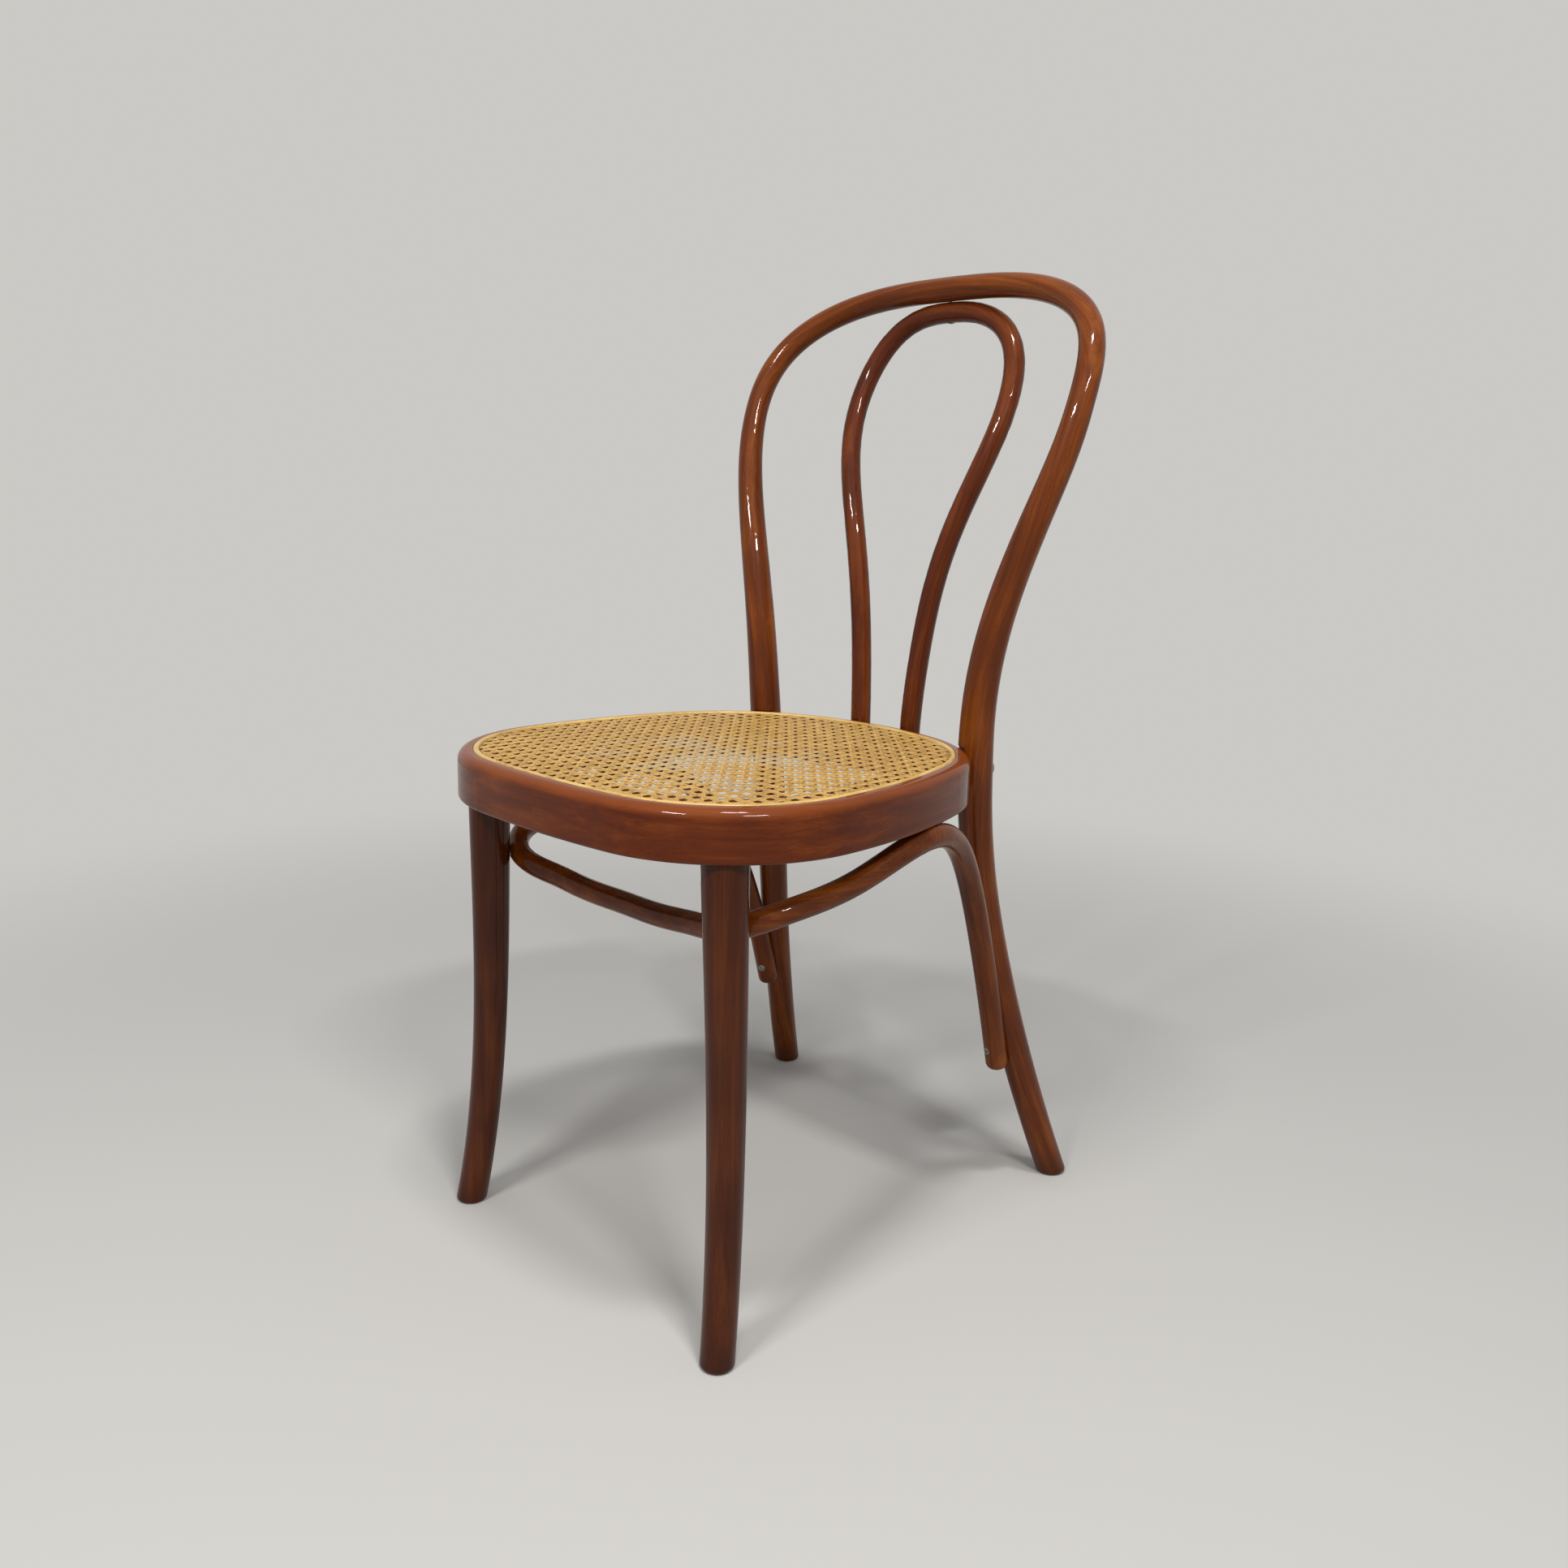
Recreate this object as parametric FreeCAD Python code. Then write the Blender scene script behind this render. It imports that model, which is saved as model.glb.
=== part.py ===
import FreeCAD, Part
import math
import os

from FreeCAD import Placement, Rotation, Vector

# Bentwood bistro chair in millimetres. +Z is up, the front faces -Y and the
# chair is symmetric about X = 0. The origin is on the floor, under the middle
# of the chair's box. Every piece is drawn about the seat's own centre and is
# moved back to that origin when it is written.

# Seat ring
SEAT_HEIGHT = 442.0
SEAT_WIDTH = 420.0
SEAT_FRONT = 205.0
SEAT_BACK = 220.0
RING_HEIGHT = 42.0
RING_WIDTH = 42.0
FRONT_CORNER_RADIUS = 140.0
REAR_CORNER_RADIUS = 160.0
REAR_TAPER = 15.3
FRONT_ARC_RADIUS = 890.0
SIDE_ARC_RADIUS = 510.0
BACK_ARC_RADIUS = 273.0
TOP_EDGE_ROUNDING = 9.0
BOTTOM_EDGE_ROUNDING = 3.0
INNER_EDGE_ROUNDING = 2.0

# Cane panel and the reed that holds it in its groove
GROOVE_INSET = 13.0
GROOVE_WIDTH = 5.6
GROOVE_DEPTH = 7.0
SPLINE_PROUD = 0.9
SPLINE_ROUNDING = 2.2
CANE_DROP = 1.5
CANE_THICKNESS = 1.2
CANE_PITCH = 13.0
NET_COARSENESS = 1.5
NET_HOLE_WIDTH = 9.0
NET_MARGIN = 30.0

# Front legs
FRONT_LEG_ANGLE = -43.8
FRONT_LEG_INSET = 23.8
FRONT_LEG_TOP_DIAMETER = 37.4
FRONT_LEG_FOOT_DIAMETER = 28.0
FRONT_LEG_TAPER_POWER = 1.65
FRONT_LEG_SPREAD = 7.5
FRONT_LEG_SET_BACK = 6.6
FRONT_LEG_KNEE_HEIGHT = 345.0
FRONT_FLARE_POWER = 3.0
FRONT_FLARE_OUT = 8.9
FRONT_FLARE_FORWARD = 21.2
TENON_DIAMETER = 20.0
TENON_LENGTH = 29.0
FOOT_ROUNDING = 3.5

# Back frame: rear legs and outer hoop in one rod
UPRIGHT_ANGLE = 54.2
UPRIGHT_HOUSING = 3.0
UPRIGHT_DIAMETER = 33.0
REAR_FOOT_DIAMETER = 28.2
REAR_FOOT_TAPER_POWER = 1.4
HOOP_TOP_DIAMETER = 24.0
HOOP_TAPER_POWER = 1.15
REAR_LEG_SPLAY_HEIGHT = 340.0
REAR_LEG_SPLAY_OUT = 49.0
REAR_LEG_OUT_POWER = 1.27
REAR_LEG_SPLAY_BACK = 102.0
REAR_LEG_BACK_POWER = 1.75
BACK_WAIST_ABOVE_SEAT = 45.0
BACK_BEND_RADIUS = 850.0
CROWN_LEAN_ABOVE_SEAT = 308.0
CROWN_LEAN = 22.0
HOOP_HEIGHT = 433.0
HOOP_FLANK_START = -62.0
HOOP_WIDEST_ABOVE_SEAT = 318.0
HOOP_HALF_WIDTH = 201.8
HOOP_FLANK_POWER = 1.5
HOOP_CROWN_POWER = 2.7

# Inner loop of the back
LOOP_DIAMETER = 20.5
LOOP_HOUSING = 0.8
LOOP_HALF_SPACING = 32.0
LOOP_SPREAD = 22.0
LOOP_HALF_WIDTH = 94.3
LOOP_CROWN_HEIGHT = 102.0
LOOP_FLANK_POWER = 1.8
LOOP_CROWN_POWER = 2.55
LOOP_SLOPE = 21.6
LOOP_LEAN_POWER = 2.27
LOOP_TOP_BEHIND = 5.0
LOOP_END_ABOVE_RING_BOTTOM = 6.0
LOOP_END_ROUNDING = 2.0

# Leg brace
BRACE_END_DIAMETER = 21.6
BRACE_MIDDLE_DIAMETER = 19.6
BRACE_END_HEIGHT = 122.0
BRACE_END_ANGLE = -107.0
BRACE_TOP_INSET = 7.5
BRACE_TOP_BEHIND_CENTRE = 42.0
BRACE_BEND_POWER = 2.7
BRACE_SIDE_POWER = 1.2
BRACE_SIDE_INSET = 27.0
BRACE_SIDE_FORWARD = 20.0
BRACE_SIDE_DROP = 24.0
BRACE_CORNER_DROP = 52.0
BRACE_FRONT_DROP = 66.0
BRACE_FRONT_BOW = 5.0
BRACE_FRONT_POWER = 2.5
BRACE_CONTACT_ANGLE = 121.0
BRACE_END_ROUNDING = 6.0

# Fits
CONTACT_GAP = 0.2
FASTENER_GAP = 0.1
TENON_GAP = 0.1

# Frame bolts
BOLT_DIAMETER = 6.0
BOLT_HEAD_DIAMETER = 15.0
BOLT_HEAD_HEIGHT = 4.0
BOLT_HEAD_SINK = 2.0
NUT_ACROSS_FLATS = 10.0
NUT_HEIGHT = 5.0
WASHER_DIAMETER = 18.0
WASHER_THICKNESS = 1.6
WASHER_SINK = 1.0
BOLT_TAIL = 2.5

# Wood screws
SCREW_DIAMETER = 4.0
SCREW_HEAD_DIAMETER = 8.0
SCREW_HEAD_CONE = 2.4
SCREW_HEAD_DOME = 1.0
SCREW_DOME_SHARE = 0.55
SCREW_SINK = 0.3
SCREW_TIP = 4.0
SCREW_SLOT_WIDTH = 1.0
SCREW_SLOT_DEPTH = 1.2
LOOP_SCREW_LENGTH = 42.0
LOOP_TOP_SCREW_LENGTH = 32.0
BRACE_RING_SCREW_LENGTH = 38.0
BRACE_LEG_SCREW_LENGTH = 34.0
BRACE_END_SCREW_LENGTH = 34.0
BRACE_END_SCREW_ABOVE_END = 20.0
TENON_SCREW_LENGTH = 28.0
TENON_SCREW_ABOVE_RING_BOTTOM = 14.0

# Worked out from the sizes above
RING_BOTTOM = SEAT_HEIGHT - RING_HEIGHT
RING_MIDDLE = SEAT_HEIGHT - RING_HEIGHT / 2
HOOP_TOP = SEAT_HEIGHT + HOOP_HEIGHT
HOOP_WIDEST = SEAT_HEIGHT + HOOP_WIDEST_ABOVE_SEAT
BACK_WAIST = SEAT_HEIGHT + BACK_WAIST_ABOVE_SEAT
CROWN_LEAN_START = SEAT_HEIGHT + CROWN_LEAN_ABOVE_SEAT
SPLINE_WIDTH = GROOVE_WIDTH - 2 * FASTENER_GAP
FULL_TURN = 360.0
SECTION_SPACING = 35.0
BRACE_SECTION_SPACING = 30.0
POINTS_AROUND = 12
SHAPE_TOLERANCE = 1e-5
HOUSING_REACH = 60.0

# How far a tool runs past what it cuts, and how near counts as the same place
OVERRUN = 1.0
ROD_OVERRUN = 15.0
ROOM_BELOW = 100.0
SAME_PLACE = 0.1


def polar(centre, radius, degrees):
    """A point at a distance and a direction from a centre, in plan."""
    angle = math.radians(degrees)
    return Vector(centre.x + radius * math.cos(angle), centre.y + radius * math.sin(angle), centre.z)


def smooth(share):
    """An S-curve from 0 to 1 that starts and ends level."""
    share = min(max(share, 0.0), 1.0)
    return share * share * (3 - 2 * share)


def mirrored(shape):
    """The same shape on the other side of the chair."""
    return shape.mirror(Vector(0, 0, 0), Vector(1, 0, 0))


def both(shapes):
    return shapes + [mirrored(shape) for shape in shapes]


def pair(shape):
    """A right and a left copy as one group of separate solids."""
    return Part.makeCompound([shape, mirrored(shape)])


# Seat outline in plan, made of arcs that run into each other

def corner_centre(x, corner_radius, reach, arc_radius):
    """Centre of a corner arc that runs into the wide arc which crosses X = 0."""
    return Vector(x, reach - arc_radius + math.sqrt((arc_radius - corner_radius) ** 2 - x ** 2), 0)


FRONT_CORNER = corner_centre(
    SEAT_WIDTH / 2 - FRONT_CORNER_RADIUS, FRONT_CORNER_RADIUS, SEAT_FRONT, FRONT_ARC_RADIUS
)
FRONT_CORNER.y *= -1
REAR_CORNER = corner_centre(
    SEAT_WIDTH / 2 - REAR_CORNER_RADIUS - REAR_TAPER, REAR_CORNER_RADIUS, SEAT_BACK, BACK_ARC_RADIUS
)


def wide_arc_centre(first, first_radius, second, second_radius, radius):
    """Centre of the wide arc that touches two corner arcs from outside."""
    reach_first = radius - first_radius
    reach_second = radius - second_radius
    between = second.sub(first)
    distance = between.Length
    along = (reach_first ** 2 - reach_second ** 2 + distance ** 2) / (2 * distance)
    aside = math.sqrt(reach_first ** 2 - along ** 2)
    direction = Vector(between).normalize()
    return first + direction * along + Vector(-direction.y, direction.x, 0) * aside


def seat_outline(inset, z):
    """The seat's closed outline, drawn inwards by the inset, at a height."""
    corners = [
        (Vector(-FRONT_CORNER.x, FRONT_CORNER.y, 0), FRONT_CORNER_RADIUS),
        (FRONT_CORNER, FRONT_CORNER_RADIUS),
        (REAR_CORNER, REAR_CORNER_RADIUS),
        (Vector(-REAR_CORNER.x, REAR_CORNER.y, 0), REAR_CORNER_RADIUS),
    ]
    wide_radii = [FRONT_ARC_RADIUS, SIDE_ARC_RADIUS, BACK_ARC_RADIUS, SIDE_ARC_RADIUS]
    wide_centres = []
    for i, wide_radius in enumerate(wide_radii):
        first, first_radius = corners[i]
        second, second_radius = corners[(i + 1) % 4]
        wide_centres.append(wide_arc_centre(first, first_radius, second, second_radius, wide_radius))

    def touch(corner, corner_radius, wide_centre):
        outwards = corner.sub(wide_centre).normalize()
        return corner + outwards * (corner_radius - inset)

    lift = Vector(0, 0, z)
    edges = []
    for i, wide_radius in enumerate(wide_radii):
        corner, corner_radius = corners[i]
        following, following_radius = corners[(i + 1) % 4]
        start = touch(corner, corner_radius, wide_centres[i])
        end = touch(following, following_radius, wide_centres[i])
        middle_way = (start + end) * 0.5 - wide_centres[i]
        middle = wide_centres[i] + middle_way.normalize() * (wide_radius - inset)
        edges.append(Part.Arc(start + lift, middle + lift, end + lift).toShape())
        leave = touch(following, following_radius, wide_centres[(i + 1) % 4])
        bisector = (end + leave) * 0.5 - following
        corner_middle = following + bisector.normalize() * (following_radius - inset)
        edges.append(Part.Arc(end + lift, corner_middle + lift, leave + lift).toShape())
    return Part.Wire(edges)


def outline_plate(inset, low, high):
    """A plate of the seat's outline between two heights."""
    face = Part.Face(seat_outline(inset, low))
    return face.extrude(Vector(0, 0, high - low))


def seat_housing():
    """The room that a rod gives up where it is let in against the ring."""
    return outline_plate(-CONTACT_GAP, RING_BOTTOM - CONTACT_GAP, SEAT_HEIGHT + CONTACT_GAP)


def outline_point(inset, x, side):
    """Where a line of constant X crosses the outline. Side is 1 for the back."""
    reach = 2 * (SEAT_FRONT + SEAT_BACK)
    line = Part.makeLine(Vector(x, 0, 0), Vector(x, side * reach, 0))
    touching = line.distToShape(seat_outline(inset, 0))[1]
    return touching[0][0]


def side_point(inset, y):
    """Where a line of constant Y crosses the right side of the outline."""
    line = Part.makeLine(Vector(0, y, 0), Vector(2 * SEAT_WIDTH, y, 0))
    touching = line.distToShape(seat_outline(inset, 0))[1]
    return touching[0][0]


# Bent rods

def path_edge(points):
    """One smooth curve through the points."""
    curve = Part.BSplineCurve()
    curve.interpolate(points)
    return curve.toShape()


def path_frames(edge, count):
    """Places along a curve, each turned as little as possible from the last."""
    frames = []
    for i in range(count + 1):
        parameter = edge.getParameterByLength(edge.Length * (i / count))
        point = edge.valueAt(parameter)
        tangent = edge.tangentAt(parameter).normalize()
        if frames:
            last_normal = frames[-1][2]
            normal = last_normal - tangent * last_normal.dot(tangent)
        else:
            normal = Vector(0, 1, 0) - tangent * tangent.y
        frames.append((point, tangent, normal.normalize()))
    return frames


def rod(points, radius_at, spacing=SECTION_SPACING):
    """A round rod along a smooth curve. Its radius is given by the place."""
    edge = path_edge(points)
    count = int(edge.Length / spacing) + 1
    frames = path_frames(edge, count)
    # A smooth closed curve runs a little inside its control points.
    outside = 3 / (2 + math.cos(2 * math.pi / POINTS_AROUND))
    stations = [float(i) for i in range(count + 1)]
    poles = []
    for k in range(POINTS_AROUND):
        angle = 2 * math.pi * k / POINTS_AROUND
        line = []
        for point, tangent, normal in frames:
            direction = normal * math.cos(angle) + tangent.cross(normal) * math.sin(angle)
            line.append(point + direction * radius_at(point) * outside)
        curve = Part.BSplineCurve()
        curve.interpolate(Points=line, Parameters=stations)
        poles.append(curve.getPoles())
    surface = Part.BSplineSurface()
    surface.buildFromPolesMultsKnots(
        poles, [1] * (POINTS_AROUND + 1), curve.getMultiplicities(),
        list(range(POINTS_AROUND + 1)), curve.getKnots(), True, False, 3, 3,
    )
    side = surface.toShape()
    ends = [Part.Face(Part.Wire([rim])) for rim in side.Edges if rim.isClosed()]
    solid = Part.Solid(Part.Shell([side] + ends))
    solid.fix(SHAPE_TOLERANCE, SHAPE_TOLERANCE, SHAPE_TOLERANCE)
    return solid


def rounded_where(shape, radius, chosen):
    """Rounds the edges that the test picks."""
    return shape.makeFillet(radius, [edge for edge in shape.Edges if chosen(edge)])


def rounded_ends(shape, radius, ends):
    """Rounds the rims of a rod's two cut ends."""

    def at_an_end(edge):
        centre = edge.BoundBox.Center
        return any(centre.distanceToPoint(end) < OVERRUN for end in ends)

    return rounded_where(shape, radius, at_an_end)


def whole_path(half):
    """Joins a right half that ends on X = 0 to its mirror image."""
    left = [Vector(-point.x, point.y, point.z) for point in reversed(half[:-1])]
    return half + left


def blend(low, high, share):
    return low + (high - low) * share


def box_below(z):
    """A block under the whole chair, with its top at a height."""
    reach = 2 * SEAT_WIDTH
    return Part.makeBox(2 * reach, 2 * reach, ROOM_BELOW, Vector(-reach, -reach, z - ROOM_BELOW))


# Back frame

UPRIGHT_RADIUS = UPRIGHT_DIAMETER / 2
UPRIGHT = polar(REAR_CORNER, REAR_CORNER_RADIUS + UPRIGHT_RADIUS - UPRIGHT_HOUSING, UPRIGHT_ANGLE)


def back_frame_radius(point):
    if point.z < RING_MIDDLE:
        share = max(0.0, point.z / RING_MIDDLE) ** REAR_FOOT_TAPER_POWER
        return blend(REAR_FOOT_DIAMETER, UPRIGHT_DIAMETER, share) / 2
    share = min(1.0, (point.z - RING_MIDDLE) / (HOOP_WIDEST - RING_MIDDLE)) ** HOOP_TAPER_POWER
    return blend(UPRIGHT_DIAMETER, HOOP_TOP_DIAMETER, share) / 2


def rise_above(z, start, end):
    """How far a height has risen from a start to an end, and never below 0."""
    return max(0.0, (z - start) / (end - start))


def lean(z):
    """How far the back frame lies behind its own waist at a height."""
    below = REAR_LEG_SPLAY_BACK * rise_above(z, BACK_WAIST, 0) ** REAR_LEG_BACK_POWER
    above = max(0.0, z - BACK_WAIST) ** 2 / (2 * BACK_BEND_RADIUS)
    crown = CROWN_LEAN * rise_above(z, CROWN_LEAN_START, HOOP_TOP) ** 2
    return below + above + crown


def frame_y(z):
    return UPRIGHT.y + lean(z) - lean(RING_MIDDLE)


HOOP_TOP_Y = frame_y(HOOP_TOP)


def rear_leg_point(z):
    """Centre of the right rear leg at a height."""
    splay = rise_above(z, REAR_LEG_SPLAY_HEIGHT, 0) ** REAR_LEG_OUT_POWER
    return Vector(UPRIGHT.x + REAR_LEG_SPLAY_OUT * splay, frame_y(z), z)


def hoop_flank_point(z):
    """Right side of the hoop, from the seat to where the hoop is widest."""
    share = rise_above(z, SEAT_HEIGHT + HOOP_FLANK_START, HOOP_WIDEST)
    x = blend(UPRIGHT.x, HOOP_HALF_WIDTH, smooth(share ** HOOP_FLANK_POWER))
    return Vector(x, frame_y(z), z)


def crown_point(half_width, widest, top, power, degrees):
    """A point on a crown, from its widest place to its top, at Y = 0."""
    angle = math.radians(degrees)
    x = half_width * math.cos(angle) ** (2 / power) if degrees < 90 else 0.0
    return Vector(x, 0, widest + (top - widest) * math.sin(angle) ** (2 / power))


def hoop_crown_point(degrees):
    point = crown_point(HOOP_HALF_WIDTH, HOOP_WIDEST, HOOP_TOP, HOOP_CROWN_POWER, degrees)
    point.y = frame_y(point.z)
    return point


def back_frame():
    leg_heights = [-ROD_OVERRUN] + [RING_MIDDLE * share for share in (0.1, 0.25, 0.4, 0.55, 0.7, 0.85)]
    half = [rear_leg_point(z) for z in leg_heights]
    half += [hoop_flank_point(blend(RING_MIDDLE, HOOP_WIDEST, share)) for share in (0.0, 0.18, 0.36, 0.54, 0.72)]
    half += [hoop_flank_point(blend(RING_MIDDLE, HOOP_WIDEST, 0.88))]
    half += [hoop_crown_point(degrees) for degrees in (2, 14, 30, 46, 60, 74, 90)]
    frame = rod(whole_path(half), back_frame_radius)
    frame = frame.cut(box_below(0.0))
    frame = rounded_where(frame, FOOT_ROUNDING, lambda edge: edge.BoundBox.ZMax < SAME_PLACE)
    return frame.cut(seat_housing())


# Inner loop

LOOP_RADIUS = LOOP_DIAMETER / 2
LOOP_FOOT = outline_point(0, LOOP_HALF_SPACING, 1) + Vector(0, LOOP_RADIUS - LOOP_HOUSING, 0)
LOOP_TOUCH = HOOP_TOP_DIAMETER / 2 + LOOP_RADIUS + CONTACT_GAP
LOOP_TOP = HOOP_TOP - math.sqrt(LOOP_TOUCH ** 2 - LOOP_TOP_BEHIND ** 2)
LOOP_TOP_Y = HOOP_TOP_Y + LOOP_TOP_BEHIND
LOOP_WIDEST = LOOP_TOP - LOOP_CROWN_HEIGHT


def loop_y(z):
    share = rise_above(z, SEAT_HEIGHT, LOOP_TOP)
    curved = smooth(share ** LOOP_LEAN_POWER)
    return LOOP_FOOT.y + LOOP_SLOPE * share + (LOOP_TOP_Y - LOOP_FOOT.y - LOOP_SLOPE) * curved


def loop_flank_point(z):
    share = rise_above(z, SEAT_HEIGHT, LOOP_WIDEST)
    curved = smooth(share ** LOOP_FLANK_POWER)
    x = LOOP_HALF_SPACING + LOOP_SPREAD * share + (LOOP_HALF_WIDTH - LOOP_HALF_SPACING - LOOP_SPREAD) * curved
    return Vector(x, loop_y(z), z)


def loop_crown_point(degrees):
    point = crown_point(LOOP_HALF_WIDTH, LOOP_WIDEST, LOOP_TOP, LOOP_CROWN_POWER, degrees)
    point.y = loop_y(point.z)
    return point


def inner_loop():
    end = RING_BOTTOM + LOOP_END_ABOVE_RING_BOTTOM
    half = [Vector(LOOP_HALF_SPACING, LOOP_FOOT.y, z) for z in (end, (end + SEAT_HEIGHT) / 2)]
    half += [loop_flank_point(blend(SEAT_HEIGHT, LOOP_WIDEST, share)) for share in (0.05, 0.25, 0.45, 0.65, 0.85)]
    half += [loop_crown_point(degrees) for degrees in (3, 16, 32, 48, 62, 76, 90)]
    loop = rod(whole_path(half), lambda point: LOOP_RADIUS)
    ends = [half[0], Vector(-half[0].x, half[0].y, half[0].z)]
    return rounded_ends(loop, LOOP_END_ROUNDING, ends).cut(seat_housing())


# Front legs

FRONT_LEG_TOP = polar(FRONT_CORNER, FRONT_CORNER_RADIUS - FRONT_LEG_INSET, FRONT_LEG_ANGLE)


def front_leg_point(z):
    """Centre of the right front leg at a height."""
    straight = (RING_BOTTOM - z) / RING_BOTTOM
    flare = max(0.0, 1 - z / FRONT_LEG_KNEE_HEIGHT) ** FRONT_FLARE_POWER
    x = FRONT_LEG_TOP.x + FRONT_LEG_SPREAD * straight + FRONT_FLARE_OUT * flare
    y = FRONT_LEG_TOP.y + FRONT_LEG_SET_BACK * straight - FRONT_FLARE_FORWARD * flare
    return Vector(x, y, z)


def front_leg_radius(point):
    share = max(0.0, point.z / RING_BOTTOM) ** FRONT_LEG_TAPER_POWER
    return blend(FRONT_LEG_FOOT_DIAMETER, FRONT_LEG_TOP_DIAMETER, share) / 2


def front_leg():
    heights = [-ROD_OVERRUN] + [RING_BOTTOM * share for share in (0.1, 0.25, 0.4, 0.6, 0.8)]
    heights += [RING_BOTTOM + ROD_OVERRUN]
    leg = rod([front_leg_point(z) for z in heights], front_leg_radius)
    leg_top = RING_BOTTOM - CONTACT_GAP / 2
    leg = leg.cut([box_below(0.0), box_below(leg_top + ROOM_BELOW)])
    leg = rounded_where(leg, FOOT_ROUNDING, lambda edge: edge.BoundBox.ZMax < SAME_PLACE)
    tenon_base = Vector(FRONT_LEG_TOP.x, FRONT_LEG_TOP.y, RING_BOTTOM - OVERRUN)
    tenon = Part.makeCylinder(TENON_DIAMETER / 2, TENON_LENGTH + OVERRUN, tenon_base)
    return leg.fuse(tenon).removeSplitter()


# Leg brace

def brace_radius(point):
    share = smooth(abs(point.x) / FRONT_LEG_TOP.x) * smooth(point.y / UPRIGHT.y + 0.5)
    return blend(BRACE_MIDDLE_DIAMETER, BRACE_END_DIAMETER, share) / 2


BRACE_MIDDLE_RADIUS = BRACE_MIDDLE_DIAMETER / 2
BRACE_END_RADIUS = BRACE_END_DIAMETER / 2


def brace_end_point():
    leg = rear_leg_point(BRACE_END_HEIGHT)
    reach = back_frame_radius(leg) + BRACE_END_RADIUS + CONTACT_GAP
    return polar(leg, reach, BRACE_END_ANGLE)


def brace_top_point():
    place = side_point(BRACE_TOP_INSET, BRACE_TOP_BEHIND_CENTRE)
    return Vector(place.x, place.y, RING_BOTTOM - CONTACT_GAP - brace_radius(place))


def brace_contact_point():
    leg = front_leg_point(brace_top_point().z - BRACE_CORNER_DROP)
    reach = front_leg_radius(leg) + BRACE_MIDDLE_RADIUS + CONTACT_GAP
    return polar(leg, reach, BRACE_CONTACT_ANGLE)


def brace_half():
    """Right half of the brace: rear leg, ring, front leg, middle of the front."""
    end = brace_end_point()
    top = brace_top_point()
    contact = brace_contact_point()
    half = []
    for forward in (0.0, 0.12, 0.28, 0.48, 0.72, 1.0):
        x = blend(end.x, top.x, smooth(forward ** BRACE_SIDE_POWER))
        z = blend(end.z, top.z, 1 - (1 - forward) ** BRACE_BEND_POWER)
        half.append(Vector(x, blend(end.y, top.y, forward), z))
    side = side_point(BRACE_SIDE_INSET, -BRACE_SIDE_FORWARD)
    side.z = top.z - BRACE_SIDE_DROP
    half.append(side)
    for degrees in (35, 62):
        angle = math.radians(degrees)
        x = blend(contact.x, side.x, math.cos(angle))
        y = blend(side.y, contact.y, math.sin(angle))
        half.append(Vector(x, y, blend(side.z, contact.z, degrees / 90)))
    half.append(contact)
    front_z = top.z - BRACE_FRONT_DROP
    for share in (0.68, 0.34, 0.0):
        y = contact.y + BRACE_FRONT_BOW * (1 - share)
        half.append(Vector(contact.x * share, y, blend(front_z, contact.z, share ** BRACE_FRONT_POWER)))
    return half


def rear_leg_room():
    """The right rear leg with the gap round it, where the brace lies on it."""
    low = BRACE_END_HEIGHT / 2
    heights = [blend(low, RING_BOTTOM, share) for share in (0.0, 0.2, 0.4, 0.6, 0.8, 1.0)]
    return rod([rear_leg_point(z) for z in heights], lambda point: back_frame_radius(point) + CONTACT_GAP)


def front_leg_room():
    """The right front leg with the gap round it, where the brace touches it."""
    heights = [blend(RING_BOTTOM / 2, RING_BOTTOM, share) for share in (0.0, 0.25, 0.5, 0.75, 1.0)]
    return rod([front_leg_point(z) for z in heights], lambda point: front_leg_radius(point) + CONTACT_GAP)


def leg_brace():
    half = brace_half()
    brace = rod(whole_path(half), brace_radius, BRACE_SECTION_SPACING)
    ends = [half[0], Vector(-half[0].x, half[0].y, half[0].z)]
    brace = rounded_ends(brace, BRACE_END_ROUNDING, ends)
    return brace.cut(both([rear_leg_room(), front_leg_room()])).cut(seat_housing())


# Seat

def seat_ring():
    ring = outline_plate(0, RING_BOTTOM, SEAT_HEIGHT).cut(outline_plate(RING_WIDTH, RING_BOTTOM, SEAT_HEIGHT))

    def level(edge, z):
        return abs(edge.BoundBox.ZMin - z) < SAME_PLACE and abs(edge.BoundBox.ZMax - z) < SAME_PLACE

    def outer(edge):
        middle = edge.valueAt((edge.FirstParameter + edge.LastParameter) / 2)
        in_plan = Part.Vertex(Vector(middle.x, middle.y, 0))
        return in_plan.distToShape(seat_outline(0, 0))[0] < RING_WIDTH / 2

    ring = rounded_where(ring, TOP_EDGE_ROUNDING, lambda e: level(e, SEAT_HEIGHT) and outer(e))
    ring = rounded_where(ring, BOTTOM_EDGE_ROUNDING, lambda e: level(e, RING_BOTTOM) and outer(e))
    ring = rounded_where(ring, INNER_EDGE_ROUNDING, lambda e: level(e, RING_BOTTOM) and not outer(e))
    groove_floor = SEAT_HEIGHT - GROOVE_DEPTH
    above = SEAT_HEIGHT + OVERRUN
    groove = outline_plate(GROOVE_INSET, groove_floor, above)
    groove = groove.cut(outline_plate(GROOVE_INSET + GROOVE_WIDTH, groove_floor, above))
    land = outline_plate(GROOVE_INSET + GROOVE_WIDTH / 2, SEAT_HEIGHT - CANE_DROP, above)
    return ring.cut([groove, land])


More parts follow.
